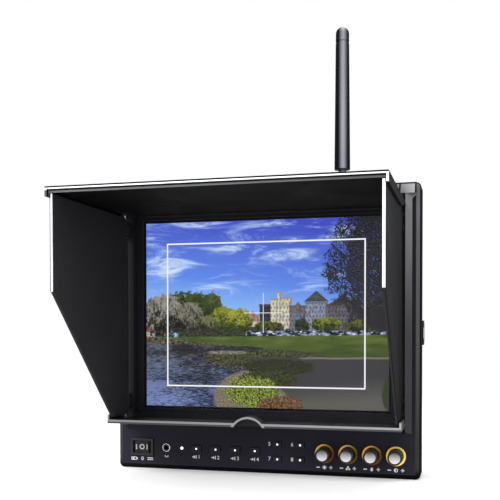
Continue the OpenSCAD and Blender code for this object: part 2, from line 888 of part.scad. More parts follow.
// Two bayonet sockets for video cables
module video_sockets() {
  color([0.75, 0.76, 0.78])
    for (x = video_xs) {
      difference() {
        union() {
          rod_y(x, video_z, back_inner_y - video_in, back_y + video_len, video_shell_r);
          rod_y(x, video_z, back_y, back_y + video_body_t, video_body_r);
          rod_x(x - video_shell_r - video_lug, x + video_shell_r + video_lug, back_y + video_lug_d, video_z,
                video_lug);
        }
        rod_y(x, video_z, back_y + socket_base, back_y + video_len + cut, video_shell_r - video_wall);
      }
      rod_y(x, video_z, back_y + socket_base, back_y + video_pin_d, video_pin_r);
    }
}

module power_socket() {
  low_y = back_inner_y - power_in;
  color([0.1, 0.1, 0.1])
    difference() {
      rod_y(power_x, video_z, low_y, back_y, power_shell_r);
      rod_y(power_x, video_z, low_y + power_floor, back_y + cut, power_hole_r);
    }
  color([0.8, 0.8, 0.8]) rod_y(power_x, video_z, low_y + power_floor, back_y - power_pin_in, power_pin_r);
}

// ---- Battery plate on the back ----

module battery_plate() {
  y1 = back_y + battery_t;
  low = battery_z - battery_h / 2;
  color([0.1, 0.1, 0.11])
    difference() {
      block([-battery_w / 2, back_y, low], [battery_w / 2, y1, low + battery_h]);
      // Grooves that the battery's feet slide in
      for (x = [-1, 1] * (battery_w / 2 - groove_in_x))
        block([x - groove_half, back_y + groove_floor, low + groove_low],
              [x + groove_half, y1 + cut, low + battery_h - groove_top]);
      block([-latch_w / 2 - clearance, back_y + battery_floor, low + latch_up],
            [latch_w / 2 + clearance, y1 + cut, low + latch_up + latch_h + latch_travel + 2 * clearance]);
      for (x = contact_xs)
        block([x - contact_w / 2, back_y + battery_floor, low + battery_h - contact_low],
              [x + contact_w / 2, y1 + cut, low + battery_h - contact_top]);
    }
}

module battery_contacts() {
  low = battery_z - battery_h / 2;
  color([0.85, 0.7, 0.35])
    for (x = contact_xs)
      block([x - contact_w / 2, back_y + battery_floor, low + battery_h - contact_low],
            [x + contact_w / 2, back_y + battery_floor + contact_t, low + battery_h - contact_top]);
}

// Catch that springs up and holds the battery; it is pulled down to free it
module battery_latch() {
  z1 = battery_z - battery_h / 2 + latch_up + latch_travel + clearance;
  outer = back_y + battery_t;
  color([0.16, 0.16, 0.17]) {
    block([-latch_w / 2, back_y + battery_floor + clearance, z1], [latch_w / 2, outer, z1 + latch_h]);
    block([-latch_w / 2, outer, z1 + latch_h - latch_grip_h],
          [latch_w / 2, outer + latch_grip_d, z1 + latch_h]);
  }
}

// ---- Hood frame ----

// Fixed ear of a flap hinge: a short barrel with a web back to the frame
module flap_ear(x, d, z0, h) {
  difference() {
    union() {
      rod_z(x, ahead(d), z0, z0 + h, barrel_r);
      block([x - barrel_r, ahead(d), z0], [x + barrel_r, ahead(frame_d), z0 + h]);
    }
    rod_z(x, ahead(d), z0 - cut, z0 + h + cut, pin_r + running_play);
  }
}

// Both ears of one flap barrel
module flap_ears(side, d, barrel_z) {
  flap_ear(side * flap_hinge_x, d, barrel_z - clearance / 2 - ear_h, ear_h);
  flap_ear(side * flap_hinge_x, d, barrel_z + flap_barrel_h + clearance / 2, ear_h);
}

// Fixed ear of the lid or floor hinge
module cross_ear(x0, z) {
  y = ahead(left_hinge_d);
  difference() {
    union() {
      rod_x(x0, x0 + ear_h, y, z, barrel_r);
      block([x0, y, z - barrel_r], [x0 + ear_h, ahead(frame_d), z + barrel_r]);
    }
    rod_x(x0 - cut, x0 + ear_h + cut, y, z, pin_r + running_play);
  }
}

module cross_ears(side, z) {
  x = side * lid_hinge_x;
  cross_ear(x - lid_barrel_w / 2 - clearance - ear_h, z);
  cross_ear(x + lid_barrel_w / 2 + clearance, z);
}

module hood_frame() {
  slope_start = frame_d - frame_slope_d;
  color([0.3, 0.3, 0.32]) {
    difference() {
      union() {
        // The bars run up inside the band, under the same slope
        intersection() {
          plan_bar([[-frame_half_w, -cut], [-frame_half_w, slope_start], [-frame_front_half_w, frame_d],
                    [frame_front_half_w, frame_d], [frame_half_w, slope_start], [frame_half_w, -cut]],
                   frame_low_z - cut, band_top_z + cut);
          side_sheet([[0, frame_low_z], [frame_d, frame_low_z], [frame_d, band_low_z],
                      [band_crest_d, band_top_z], [0, band_top_z]],
                     -frame_half_w - cut, frame_half_w + cut);
        }
        side_sheet([[0, band_low_z], [frame_d, band_low_z], [band_crest_d, band_top_z], [0, band_top_z]],
                   -band_half_w, band_half_w);
      }
      block([-window_half_w, ahead(frame_d + cut), window_low_z],
            [window_half_w, front_y + cut, window_top_z]);
      // The lower edge slopes back to the face
      side_sheet([[frame_foot_d, frame_low_z - cut], [frame_d + cut, frame_low_z - cut],
                  [frame_d + cut, frame_low_z + frame_foot_h], [frame_foot_d + cut, frame_low_z]],
                 -frame_half_w - cut, frame_half_w + cut);
      // Slits beside the two catches that hook the band on the casing
      for (side = [-1, 1], offset = catch_slits)
        block([side * (catch_x + offset) - catch_slit / 2, ahead(frame_d + cut), band_low_z + catch_up],
              [side * (catch_x + offset) + catch_slit / 2, ahead(catch_d), band_top_z + cut]);
    }
    for (z = flap_barrel_zs) {
      flap_ears(-1, left_hinge_d, z);
      flap_ears(1, right_hinge_d, z);
    }
    for (side = [-1, 1]) {
      cross_ears(side, lid_hinge_z);
      cross_ears(side, floor_hinge_z);
    }
  }
}

// ---- Lid and floor ----

// Moving barrel of the lid or floor hinge, with the leaf that joins it to the panel
module cross_barrel(side, hinge_z, panel_z) {
  x0 = side * lid_hinge_x - lid_barrel_w / 2;
  y = ahead(left_hinge_d);
  difference() {
    union() {
      rod_x(x0, x0 + lid_barrel_w, y, hinge_z, barrel_r);
      block([x0, y - barrel_r, min(hinge_z, panel_z)],
            [x0 + lid_barrel_w, y + barrel_r, max(hinge_z, panel_z)]);
    }
    rod_x(x0 - cut, x0 + lid_barrel_w + cut, y, hinge_z, pin_r + grip_play);
  }
}

module hood_lid() {
  front = lid_reach - edge_strip_d;
  inner = hood_half_w - skirt_t;
  color([0.13, 0.13, 0.15]) {
    block([-hood_half_w, ahead(front), lid_low_z], [hood_half_w, ahead(panel_rear), lid_top_z]);
    // Stiffening lip set back from the front edge
    block([-inner, ahead(front - lip_in), lid_low_z - lip_h],
          [inner, ahead(front - lip_in - lip_t), lid_low_z + join]);
    for (side = [-1, 1]) cross_barrel(side, lid_hinge_z, lid_top_z - leaf_sink);
  }
}

// Side walls of the lid
module lid_skirts() {
  front = lid_reach - edge_strip_d;
  color([0.13, 0.13, 0.15])
    for (x = [-hood_half_w, hood_half_w - skirt_t])
      side_sheet([[skirt_rear, lid_low_z], [skirt_full, lid_top_z - skirt_h],
                  [front, lid_top_z - skirt_h], [front, lid_low_z]], x, x + skirt_t);
}

// Bright strip along the lid's front edge and the ends of its skirts
module lid_edge_strip() {
  y0 = ahead(lid_reach);
  y1 = ahead(lid_reach - edge_strip_d);
  color([0.9, 0.9, 0.92]) {
    block([-hood_half_w, y0, lid_low_z], [hood_half_w, y1, lid_top_z]);
    for (x = [-hood_half_w, hood_half_w - skirt_t])
      block([x, y0, lid_top_z - skirt_h], [x + skirt_t, y1, lid_low_z + join]);
  }
}

module hood_floor() {
  inner = hood_half_w - skirt_t;
  color([0.13, 0.13, 0.15]) {
    difference() {
      union() {
        block([-hood_half_w, ahead(floor_reach), floor_low_z], [hood_half_w, ahead(panel_rear), floor_top_z]);
        block([-inner, ahead(floor_reach), floor_top_z - join],
              [inner, ahead(floor_reach - skirt_t), floor_top_z + floor_lip_h]);
      }
      scoop_prism(scoop_inner_r, scoop_d - skirt_t, floor_low_z - cut);
    }
    // Arch over the scoop, closed at its back
    difference() {
      scoop_prism(scoop_r, scoop_d, floor_top_z - join);
      scoop_prism(scoop_inner_r, scoop_d - skirt_t, floor_low_z - cut);
    }
    for (side = [-1, 1]) cross_barrel(side, floor_hinge_z, floor_low_z + leaf_sink);
  }
}

// Side walls of the floor panel
module floor_skirts() {
  top_z = floor_low_z + skirt_h;
  color([0.13, 0.13, 0.15])
    for (x = [-hood_half_w, hood_half_w - skirt_t])
      side_sheet([[skirt_rear, floor_top_z], [skirt_rear + floor_skirt_ramp, top_z],
                  [floor_reach, top_z], [floor_reach, floor_top_z]], x, x + skirt_t);
}

// Arched prism that runs back from the floor's front edge
module scoop_prism(r, depth, low_z) {
  front_over = r < scoop_r ? cut : 0;
  intersection() {
    rod_y(0, scoop_centre_z, ahead(floor_reach + front_over), ahead(floor_reach - depth), r, turn_fn);
    block([-scoop_w, ahead(floor_reach + front_over), low_z],
          [scoop_w, ahead(floor_reach - depth), floor_top_z + scoop_h + cut]);
  }
}

// Pins through the barrels of the lid or the floor
module cross_pins(z) {
  reach = lid_barrel_w / 2 + clearance + ear_h;
  color([0.7, 0.71, 0.73])
    for (side = [-1, 1])
      rod_x(side * lid_hinge_x - reach, side * lid_hinge_x + reach, ahead(left_hinge_d), z, pin_r);
}

module lid_pins() { cross_pins(lid_hinge_z); }

module floor_pins() { cross_pins(floor_hinge_z); }

// ---- Side flaps ----

module side_flap(side, hinge_d) {
  x = side * flap_hinge_x;
  rear = hinge_d + barrel_r + clearance + flap_rear_gap;
  front = flap_reach - edge_strip_d;
  bump = rear + bump_in;
  bump_end = bump + bump_w;
  color([0.13, 0.13, 0.15]) {
    side_sheet([
      [rear, flap_low_z], [bump, flap_low_z], [bump + bump_ramp, flap_low_z - bump_h],
      [bump_end - bump_ramp, flap_low_z - bump_h], [bump_end, flap_low_z], [flap_foot, flap_low_z],
      [front, flap_slant_z], [front, flap_top_z],
      [bump_end, flap_top_z], [bump_end - bump_ramp, flap_top_z + bump_h],
      [bump + bump_ramp, flap_top_z + bump_h], [bump, flap_top_z],
      [rear + flap_notch_d, flap_top_z], [rear, flap_top_z - flap_notch_h]
    ], x - sheet_t / 2, x + sheet_t / 2);
    for (z = flap_barrel_zs)
      difference() {
        union() {
          rod_z(x, ahead(hinge_d), z, z + flap_barrel_h, barrel_r);
          block([x - sheet_t / 2, ahead(rear + flap_root), z],
                [x + sheet_t / 2, ahead(hinge_d), z + flap_barrel_h]);
        }
        rod_z(x, ahead(hinge_d), z - cut, z + flap_barrel_h + cut, pin_r + grip_play);
      }
  }
}

module flap_edge_strip(side) {
  x = side * flap_hinge_x;
  color([0.9, 0.9, 0.92])
    block([x - sheet_t / 2, ahead(flap_reach), flap_slant_z],
          [x + sheet_t / 2, ahead(flap_reach - edge_strip_d), flap_top_z]);
}

module flap_pins(side, hinge_d) {
  reach = clearance / 2 + ear_h;
  color([0.7, 0.71, 0.73])
    for (z = flap_barrel_zs)
      rod_z(side * flap_hinge_x, ahead(hinge_d), z - reach, z + flap_barrel_h + reach, pin_r);
}

module left_flap() { side_flap(-1, left_hinge_d); }

module left_edge_strip() { flap_edge_strip(-1); }

module left_flap_pins() { flap_pins(-1, left_hinge_d); }

module right_flap() { side_flap(1, right_hinge_d); }

module right_edge_strip() { flap_edge_strip(1); }

module right_flap_pins() { flap_pins(1, right_hinge_d); }

// ---- Antenna ----

module antenna_socket() {
  color([0.8, 0.68, 0.35])
    difference() {
      union() {
        rod_z(antenna_x, antenna_y, rear_top_z - socket_in, rear_top_z + socket_h, socket_r);
        rod_z(antenna_x, antenna_y, rear_top_z - wall - socket_flange_t, rear_top_z - wall, nut_r);
      }
      rod_z(antenna_x, antenna_y, rear_top_z + socket_floor, rear_top_z + socket_h + cut, socket_pin_r);
    }
}

module antenna_nut() {
  color([0.8, 0.68, 0.35])
    difference() {
      rod_z(antenna_x, antenna_y, rear_top_z, rear_top_z + nut_h, nut_r, 6);
      rod_z(antenna_x, antenna_y, rear_top_z - cut, rear_top_z + nut_h + cut, socket_r + grip_play);
    }
}

// Foot that turns on the socket, with two ears for the tilt pin
module antenna_foot() {
  low = rear_top_z + nut_h + clearance;
  pivot_z = rear_top_z + pivot_h;
  half = tongue_half + clearance + ear_t;
  color([0.1, 0.1, 0.11])
    difference() {
      union() {
        rod_z(antenna_x, antenna_y, low, rear_top_z + foot_h, foot_r, turn_fn);
        rod_x(antenna_x - half, antenna_x + half, antenna_y, pivot_z, tongue_r);
        block([antenna_x - half, antenna_y - tongue_r, rear_top_z + foot_h - foot_sink],
              [antenna_x + half, antenna_y + tongue_r, pivot_z]);
      }
      block([antenna_x - tongue_half - clearance, antenna_y - foot_r, rear_top_z + foot_h],
            [antenna_x + tongue_half + clearance, antenna_y + foot_r, pivot_z + tongue_r + cut]);
      rod_z(antenna_x, antenna_y, low - cut, rear_top_z + foot_h + cut, socket_r + running_play);
      rod_x(antenna_x - half - cut, antenna_x + half + cut, antenna_y, pivot_z, antenna_pin_r + grip_play);
    }
}

module antenna_pin() {
  half = tongue_half + clearance + ear_t;
  color([0.6, 0.61, 0.63])
    rod_x(antenna_x - half, antenna_x + half, antenna_y, rear_top_z + pivot_h, antenna_pin_r);
}

module antenna_mast() {
  pivot_z = rear_top_z + pivot_h;
  collar_z = case_h + collar_h;
  tip_z = case_h + antenna_h;
  color([0.1, 0.1, 0.11])
    difference() {
      union() {
        rod_x(antenna_x - tongue_half, antenna_x + tongue_half, antenna_y, pivot_z, tongue_r);
        block([antenna_x - tongue_half, antenna_y - tongue_r, pivot_z],
              [antenna_x + tongue_half, antenna_y + tongue_r, collar_z + tongue_sink]);
        translate([antenna_x, antenna_y, collar_z])
          cylinder(h = tip_z - antenna_tip_r - collar_z, r1 = antenna_foot_r, r2 = antenna_tip_r,
                   $fn = turn_fn);
        translate([antenna_x, antenna_y, tip_z - antenna_tip_r]) sphere(antenna_tip_r, $fn = turn_fn);
      }
      rod_x(antenna_x - tongue_half - cut, antenna_x + tongue_half + cut, antenna_y, pivot_z,
            antenna_pin_r + running_play);
      // Shallow groove near the tip
      difference() {
        rod_z(antenna_x, antenna_y, tip_z - groove_drop - groove_w, tip_z - groove_drop, foot_r + 2, turn_fn);
        rod_z(antenna_x, antenna_y, tip_z - groove_drop - groove_w - cut, tip_z - groove_drop + cut,
              antenna_tip_r - groove_in, turn_fn);
      }
    }
}

// ---- Repeated pieces under their own names ----

module input_button_1() { push_button(input_xs[0], row_z, input_w, input_h); }

module input_button_2() { push_button(input_xs[1], row_z, input_w, input_h); }

module input_button_3() { push_button(input_xs[2], row_z, input_w, input_h); }

module input_button_4() { push_button(input_xs[3], row_z, input_w, input_h); }

module function_button_1() { push_button(function_xs[0], function_zs[0], function_w, function_h); }

module function_button_2() { push_button(function_xs[1], function_zs[0], function_w, function_h); }

module function_button_3() { push_button(function_xs[0], function_zs[1], function_w, function_h); }

module function_button_4() { push_button(function_xs[1], function_zs[1], function_w, function_h); }

module knob_1() { knob(knob_xs[0]); }

module knob_cap_1() { knob_cap(knob_xs[0]); }

module knob_2() { knob(knob_xs[1]); }

module knob_cap_2() { knob_cap(knob_xs[1]); }

module knob_3() { knob(knob_xs[2]); }

module knob_cap_3() { knob_cap(knob_xs[2]); }

module knob_4() { knob(knob_xs[3]); }

module knob_cap_4() { knob_cap(knob_xs[3]); }

front_casing();
rear_cover();
case_screws();
cover_glass();
display_cell();
backlight();
screen_tray();
main_board();
control_board();
receiver_box();
speaker();
rocker_housing();
headphone_socket();
status_lamp();
knob_encoders();
knob_rings();
tripod_insert();
side_inserts();
rear_inserts();
video_sockets();
power_socket();
battery_plate();
battery_contacts();
battery_latch();
hood_frame();
hood_lid();
lid_skirts();
lid_edge_strip();
lid_pins();
hood_floor();
floor_skirts();
floor_pins();
left_flap();
left_edge_strip();
left_flap_pins();
right_flap();
right_edge_strip();
right_flap_pins();
power_rocker();
input_button_1();
input_button_2();
input_button_3();
input_button_4();
function_button_1();
function_button_2();
function_button_3();
function_button_4();
knob_1();
knob_cap_1();
knob_2();
knob_cap_2();
knob_3();
knob_cap_3();
knob_4();
knob_cap_4();
antenna_socket();
antenna_nut();
antenna_foot();
antenna_pin();
antenna_mast();
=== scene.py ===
"""Looks of a camera field monitor with a folding sun hood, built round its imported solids."""

import json
import math
from contextlib import contextmanager

import bmesh
import bpy
from mathutils import Matrix, Vector


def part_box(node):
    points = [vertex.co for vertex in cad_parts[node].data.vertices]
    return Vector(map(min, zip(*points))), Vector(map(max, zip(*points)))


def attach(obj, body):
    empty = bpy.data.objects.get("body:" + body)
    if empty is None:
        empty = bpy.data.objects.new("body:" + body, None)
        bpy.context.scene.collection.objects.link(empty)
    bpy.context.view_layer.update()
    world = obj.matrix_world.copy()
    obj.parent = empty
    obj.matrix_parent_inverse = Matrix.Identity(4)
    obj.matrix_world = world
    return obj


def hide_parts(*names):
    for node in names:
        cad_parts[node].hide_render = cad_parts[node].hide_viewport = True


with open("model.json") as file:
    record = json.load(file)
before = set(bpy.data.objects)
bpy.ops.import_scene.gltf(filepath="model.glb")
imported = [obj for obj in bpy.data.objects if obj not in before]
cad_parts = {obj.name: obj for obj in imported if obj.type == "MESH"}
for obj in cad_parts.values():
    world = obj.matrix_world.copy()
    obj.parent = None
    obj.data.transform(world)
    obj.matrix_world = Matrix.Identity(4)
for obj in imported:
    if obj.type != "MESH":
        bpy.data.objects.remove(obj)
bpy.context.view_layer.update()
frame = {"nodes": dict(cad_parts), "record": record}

MM = 0.001

# ---- Camera, at the photograph's angle ----

CAMERA_PLACE = Vector((158.45, -611.7, 112.09)) * MM
CAMERA_PITCH = 89.0
CAMERA_YAW = 13.71
CAMERA_LENS = 55.66
CAMERA_SHIFT = (-0.0642, 0.1882)


def make_camera():
    bpy.context.scene.view_settings.view_transform = "Standard"
    data = bpy.data.cameras.new("photo_camera")
    data.lens = CAMERA_LENS
    data.shift_x, data.shift_y = CAMERA_SHIFT
    camera = bpy.data.objects.new("photo_camera", data)
    bpy.context.scene.collection.objects.link(camera)
    camera.location = CAMERA_PLACE
    camera.rotation_euler = (math.radians(CAMERA_PITCH), 0, math.radians(CAMERA_YAW))
    bpy.context.scene.camera = camera


# ---- Node trees ----

def rgba(red, green, blue):
    return (red, green, blue, 1.0)


def grey(value, blue=None):
    """A grey, or one whose blue is a little stronger."""
    return rgba(value, value, value if blue is None else blue)


class Tree:
    """A node tree with short calls for the nodes that the finishes use."""

    def __init__(self, tree):
        self.tree = tree

    def feed(self, socket, value):
        if isinstance(value, bpy.types.NodeSocket):
            self.tree.links.new(value, socket)
        else:
            socket.default_value = value

    def node(self, kind, feeds=None, **settings):
        made = self.tree.nodes.new(kind)
        for name, value in settings.items():
            setattr(made, name, value)
        for place, value in (feeds or {}).items():
            self.feed(made.inputs[place], value)
        return made

    def math(self, operation, a, b=0.0):
        return self.node("ShaderNodeMath", {0: a, 1: b}, operation=operation).outputs[0]

    def plus(self, a, b):
        return self.math("ADD", a, b)

    def minus(self, a, b):
        return self.math("SUBTRACT", a, b)

    def times(self, a, b):
        return self.math("MULTIPLY", a, b)

    def over(self, a, b):
        return self.math("DIVIDE", a, b)

    def most(self, a, b):
        return self.math("MAXIMUM", a, b)

    def size(self, a):
        return self.math("ABSOLUTE", a)

    def inverse(self, mask):
        return self.minus(1.0, mask)

    def reach(self, a, b):
        """Distance that two legs at right angles span."""
        return self.math("SQRT", self.plus(self.times(a, a), self.times(b, b)))

    def mix(self, amount, a, b):
        """Colour a where amount is 0, b where it is 1."""
        return self.node("ShaderNodeMix", {0: amount, 6: a, 7: b}, data_type="RGBA").outputs[2]

    def fade(self, value, low, high, a, b):
        """Colour a where the value is low, b where it is high."""
        return self.mix(self.span(value, low, high), a, b)

    def lerp(self, amount, a, b):
        """Number a where amount is 0, b where it is 1."""
        return self.node("ShaderNodeMix", {0: amount, 2: a, 3: b}, data_type="FLOAT").outputs[0]

    def span(self, value, low, high, to_low=0.0, to_high=1.0, smooth=False):
        """The value's way from low to high, clamped, as a way from to_low to to_high."""
        shape = "SMOOTHSTEP" if smooth else "LINEAR"
        feeds = {0: value, 1: low, 2: high, 3: to_low, 4: to_high}
        return self.node("ShaderNodeMapRange", feeds, interpolation_type=shape).outputs[0]

    def place(self):
        """Object coordinates."""
        return self.node("ShaderNodeTexCoord").outputs["Object"]

    def stretch(self, vector, scale):
        return self.node("ShaderNodeMapping", {"Vector": vector, "Scale": scale}).outputs[0]

    def noise(self, vector, scale, detail=3.0, rough=0.55, warp=0.0):
        feeds = {"Vector": vector, "Scale": scale, "Detail": detail, "Roughness": rough,
                 "Distortion": warp}
        return self.node("ShaderNodeTexNoise", feeds).outputs[0]

    def cells(self, vector, scale, feature="DISTANCE_TO_EDGE"):
        return self.node("ShaderNodeTexVoronoi", {"Vector": vector, "Scale": scale},
                         feature=feature).outputs["Distance"]

    def axes(self, vector=None):
        """X, Y and Z of a vector, or else of the place."""
        return self.node("ShaderNodeSeparateXYZ", {0: vector or self.place()}).outputs

    def vector(self, x, y, z):
        return self.node("ShaderNodeCombineXYZ", {0: x, 1: y, 2: z}).outputs[0]

    def bump(self, height, strength, depth):
        feeds = {"Height": height, "Strength": strength, "Distance": depth}
        return self.node("ShaderNodeBump", feeds).outputs[0]

    def group(self, name, **values):
        """Result of a shared effect."""
        made = self.node("ShaderNodeGroup", node_tree=bpy.data.node_groups[name])
        for key, value in values.items():
            self.feed(made.inputs[key.replace("_", " ")], value)
        return made.outputs[0]

    def seen(self):
        """1 where it is looked at, straight, by reflection or through glass, and 0 as a source of light."""
        rays = self.node("ShaderNodeLightPath").outputs
        return self.most(rays["Is Camera Ray"],
                         self.most(rays["Is Glossy Ray"], rays["Is Transmission Ray"]))

    def coat(self, shader, feeds):
        """Feeds the shader's sockets by their names."""
        for name, value in feeds.items():
            self.feed(shader.inputs[name], value)


def new_group(name, result, **takes):
    """An empty node group with its named inputs and its one result: (tree, its inputs, the result)."""
    kinds = {float: "NodeSocketFloat", tuple: "NodeSocketColor"}
    tree = bpy.data.node_groups.new(name, "ShaderNodeTree")
    for label, value in takes.items():
        socket = tree.interface.new_socket(label.replace("_", " "), in_out="INPUT",
                                           socket_type=kinds[type(value)])
        socket.default_value = value
    tree.interface.new_socket(result, in_out="OUTPUT",
                              socket_type=kinds[tuple if result == "Color" else float])
    t = Tree(tree)
    return t, t.node("NodeGroupInput").outputs, t.node("NodeGroupOutput").inputs[result]


def new_material(name):
    """A material's tree and its shader."""
    material = bpy.data.materials.new(name)
    material.use_nodes = True
    t = Tree(material.node_tree)
    return material, t, material.node_tree.nodes["Principled BSDF"]


# ---- Effects that several finishes share ----

def make_moulded_grain():
    """Height of the fine pebbled grain that a textured mould leaves."""
    t, given, result = new_group("moulded grain", "Height", Scale=1500.0)
    pebbles = t.cells(t.place(), given["Scale"], "SMOOTH_F1")
    speckle = t.noise(t.place(), t.times(given["Scale"], 2.3), 2.0)
    t.feed(result, t.plus(pebbles, t.times(speckle, 0.5)))


def make_uneven_tone():
    """Slow drift between two close colours, with a faint fine mottle."""
    t, given, result = new_group("uneven tone", "Color", Dark=grey(0.0), Light=grey(1.0), Scale=20.0)
    drift = t.noise(t.place(), given["Scale"], 4.0)
    mottle = t.noise(t.place(), t.times(given["Scale"], 28.0), 2.0)
    both = t.lerp(0.25, drift, mottle)
    t.feed(result, t.fade(both, 0.32, 0.68, given["Dark"], given["Light"]))


def make_worn_edges():
    """Mask of the outer edges, broken up where hands have worn them less; it stands both for wear and for a
    painted edge highlight.
    """
    t, given, result = new_group("worn edges and sheen", "Mask", Width=0.0005)
    rounded = t.node("ShaderNodeBevel", {"Radius": given["Width"]}, samples=4).outputs[0]
    true = t.node("ShaderNodeNewGeometry").outputs["Normal"]
    turned = t.node("ShaderNodeVectorMath", {0: rounded, 1: true}, operation="DOT_PRODUCT").outputs["Value"]
    edge = t.span(turned, 0.99, 0.86)
    broken = t.span(t.noise(t.place(), 180.0, 4.0), 0.35, 0.6)
    t.feed(result, t.times(edge, broken))


def make_finger_marks():
    """Mask of the smears and small spots that handling leaves."""
    t, given, result = new_group("finger marks", "Mask", Scale=15.0)
    smear = t.noise(t.stretch(t.place(), (1.0, 1.0, 0.55)), given["Scale"], 5.0, 0.6, 0.8)
    spots = t.noise(t.place(), t.times(given["Scale"], 22.0), 3.0)
    t.feed(result, t.span(t.lerp(0.2, smear, spots), 0.36, 0.64))


def make_settled_dust():
    """Mask of dust on what faces up."""
    t, given, result = new_group("settled dust", "Mask", Scale=90.0)
    up = t.span(t.axes(t.node("ShaderNodeNewGeometry").outputs["Normal"])[2], 0.35, 0.95)
    specks = t.span(t.noise(t.place(), given["Scale"], 6.0, 0.7), 0.42, 0.75)
    t.feed(result, t.times(up, specks))


def make_fine_lines():
    """Height of the fine lines that brushing or turning leaves in metal."""
    t, given, result = new_group("fine lines", "Height", Along_X=1.0, Along_Y=1.0, Along_Z=1.0)
    x, y, z = t.axes()
    drawn = t.vector(t.times(x, given["Along X"]), t.times(y, given["Along Y"]),
                     t.times(z, given["Along Z"]))
    t.feed(result, t.lerp(0.3, t.noise(drawn, 900.0, 3.0, 0.65), t.noise(drawn, 160.0, 2.0)))


def make_effects():
    for make in (make_moulded_grain, make_uneven_tone, make_worn_edges, make_finger_marks, make_settled_dust,
                 make_fine_lines):
        make()


# ---- Finishes ----

# Places on the monitor that the painted trim keeps to, in metres
FACE_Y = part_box("front_casing")[0].y
CASE_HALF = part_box("front_casing")[1].x
CASE_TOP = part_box("front_casing")[1].z
# The casing's sloped rim, across and deep
RIM_W, RIM_D = 0.0039, 0.003
# The hood frame: start of its sloped sides, foot of its top band, middle of its catch
SLOPE_START = 0.1114
BAND_LOW = CASE_TOP - 0.0095
CATCH_X = 0.1055
# The hood's panels
FLOOR_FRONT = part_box("hood_floor")[0].y
FLOOR_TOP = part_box("floor_skirts")[0].z
SCOOP_MIDDLE_Z = 0.0345
SCOOP_R = 0.0145
LID_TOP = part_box("lid_edge_strip")[1].z
LID_LOW = LID_TOP - 0.0019
LID_LIP_FRONT = FACE_Y - 0.1267
FLAP_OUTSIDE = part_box("right_edge_strip")[1].x
# The row of knobs
ROW_Z = 0.0176
KNOB_PITCH = 0.0182
FIRST_KNOB_X = 0.0496
# Middle of the antenna's mast
ANTENNA = (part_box("antenna_mast")[0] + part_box("antenna_mast")[1]) / 2

DUST = rgba(0.30, 0.29, 0.27)
DUST_COVER = 0.03


def plastic(name, dark, light, rough, grain, depth, specular, wear_and_sheen, overlay=None, dead=None):
    """Moulded plastic: drifting tone under any overlay of painted light and shade, pebbled grain, edges
    lightened by wear and by a painted edge highlight, finger marks and a little dust.
    """
    material, t, shader = new_material(name)
    tone = t.group("uneven tone", Dark=rgba(*dark), Light=rgba(*light), Scale=21.0)
    # An overlay of painted light and shade, where one is given
    if overlay:
        tone = overlay(t, tone)
    edge = t.times(t.group("worn edges and sheen", Width=0.0006), wear_and_sheen)
    # Edges lightened, as wear and as a painted edge highlight
    lightened = t.mix(edge, tone, rgba(*(min(1.0, 3.2 * v + 0.02) for v in light)))
    dusty = t.times(t.group("settled dust"), DUST_COVER)
    marks = t.group("finger marks", Scale=16.0)
    worn_rough = t.minus(t.lerp(marks, *rough), t.times(edge, 0.2))
    t.coat(shader, {"Base Color": t.mix(dusty, lightened, DUST),
                    "Roughness": t.lerp(dead(t), worn_rough, 1.0) if dead else worn_rough,
                    "Normal": t.bump(t.group("moulded grain", Scale=grain), depth, 0.00008),
                    "Specular IOR Level": specular})
    return material


def metal(name, dark, light, rough, lines, depth=0.25, wear_and_sheen=0.25, overlay=None):
    """Brushed or turned metal, with its lines drawn out along the smallest of the three numbers."""
    material, t, shader = new_material(name)
    tone = t.group("uneven tone", Dark=rgba(*dark), Light=rgba(*light), Scale=40.0)
    drawn = t.group("fine lines", Along_X=lines[0], Along_Y=lines[1], Along_Z=lines[2])
    streaked = t.fade(drawn, 0.35, 0.65, tone, rgba(*light))
    edge = t.times(t.group("worn edges and sheen", Width=0.0003), wear_and_sheen)
    # Edges brightened, as wear and as a painted edge highlight
    worn = t.mix(edge, streaked, grey(0.95, 0.96))
    t.coat(shader, {"Base Color": overlay(t, worn) if overlay else worn,
                    "Roughness": t.lerp(t.group("finger marks", Scale=30.0), *rough),
                    "Normal": t.bump(drawn, depth, 0.00003), "Metallic": 1.0})
    return material


def make_ring_gold(name):
    """Anodised gold rings with painted light and shade: lit gold at the upper left, painted shade in brown
    towards the lower right, and on the last one a painted highlight in bright yellow, brightest at its
    right.
    """
    material, t, shader = new_material(name)
    x, _, z = t.axes()
    pitch = t.plus(x, KNOB_PITCH / 2 - FIRST_KNOB_X + KNOB_PITCH)
    across = t.minus(t.math("MODULO", pitch, KNOB_PITCH), KNOB_PITCH / 2)
    up = t.minus(z, ROW_Z)
    lean = t.plus(t.times(across, -0.65), t.times(up, 0.76))
    patches = t.noise(t.place(), 160.0, 1.0)
    gold = t.fade(patches, 0.4, 0.6, rgba(0.72, 0.34, 0.08), rgba(0.50, 0.38, 0.10))
    brown = t.fade(patches, 0.4, 0.6, rgba(0.13, 0.045, 0.012), rgba(0.10, 0.07, 0.012))
    # Painted light and shade: gold where lit at the upper left, brown where shaded
    lit_and_shaded_gold = t.fade(lean, -0.004, 0.0065, brown, gold)
    # Painted highlight on the last ring, brightest at its right
    yellow = t.fade(across, -0.004, 0.006, rgba(0.75, 0.46, 0.09), rgba(1.0, 0.78, 0.22))
    colour = t.fade(x, 0.093, 0.096, lit_and_shaded_gold, yellow)
    lines = t.group("fine lines", Along_X=1.0, Along_Y=0.1, Along_Z=1.0)
    t.coat(shader, {"Base Color": t.mix(t.span(lines, 0.3, 0.7, 0.0, 0.15), colour, rgba(0.2, 0.1, 0.03)),
                    "Roughness": t.lerp(lines, 0.25, 0.45), "Normal": t.bump(lines, 0.2, 0.00003),
                    "Metallic": 1.0})
    return material


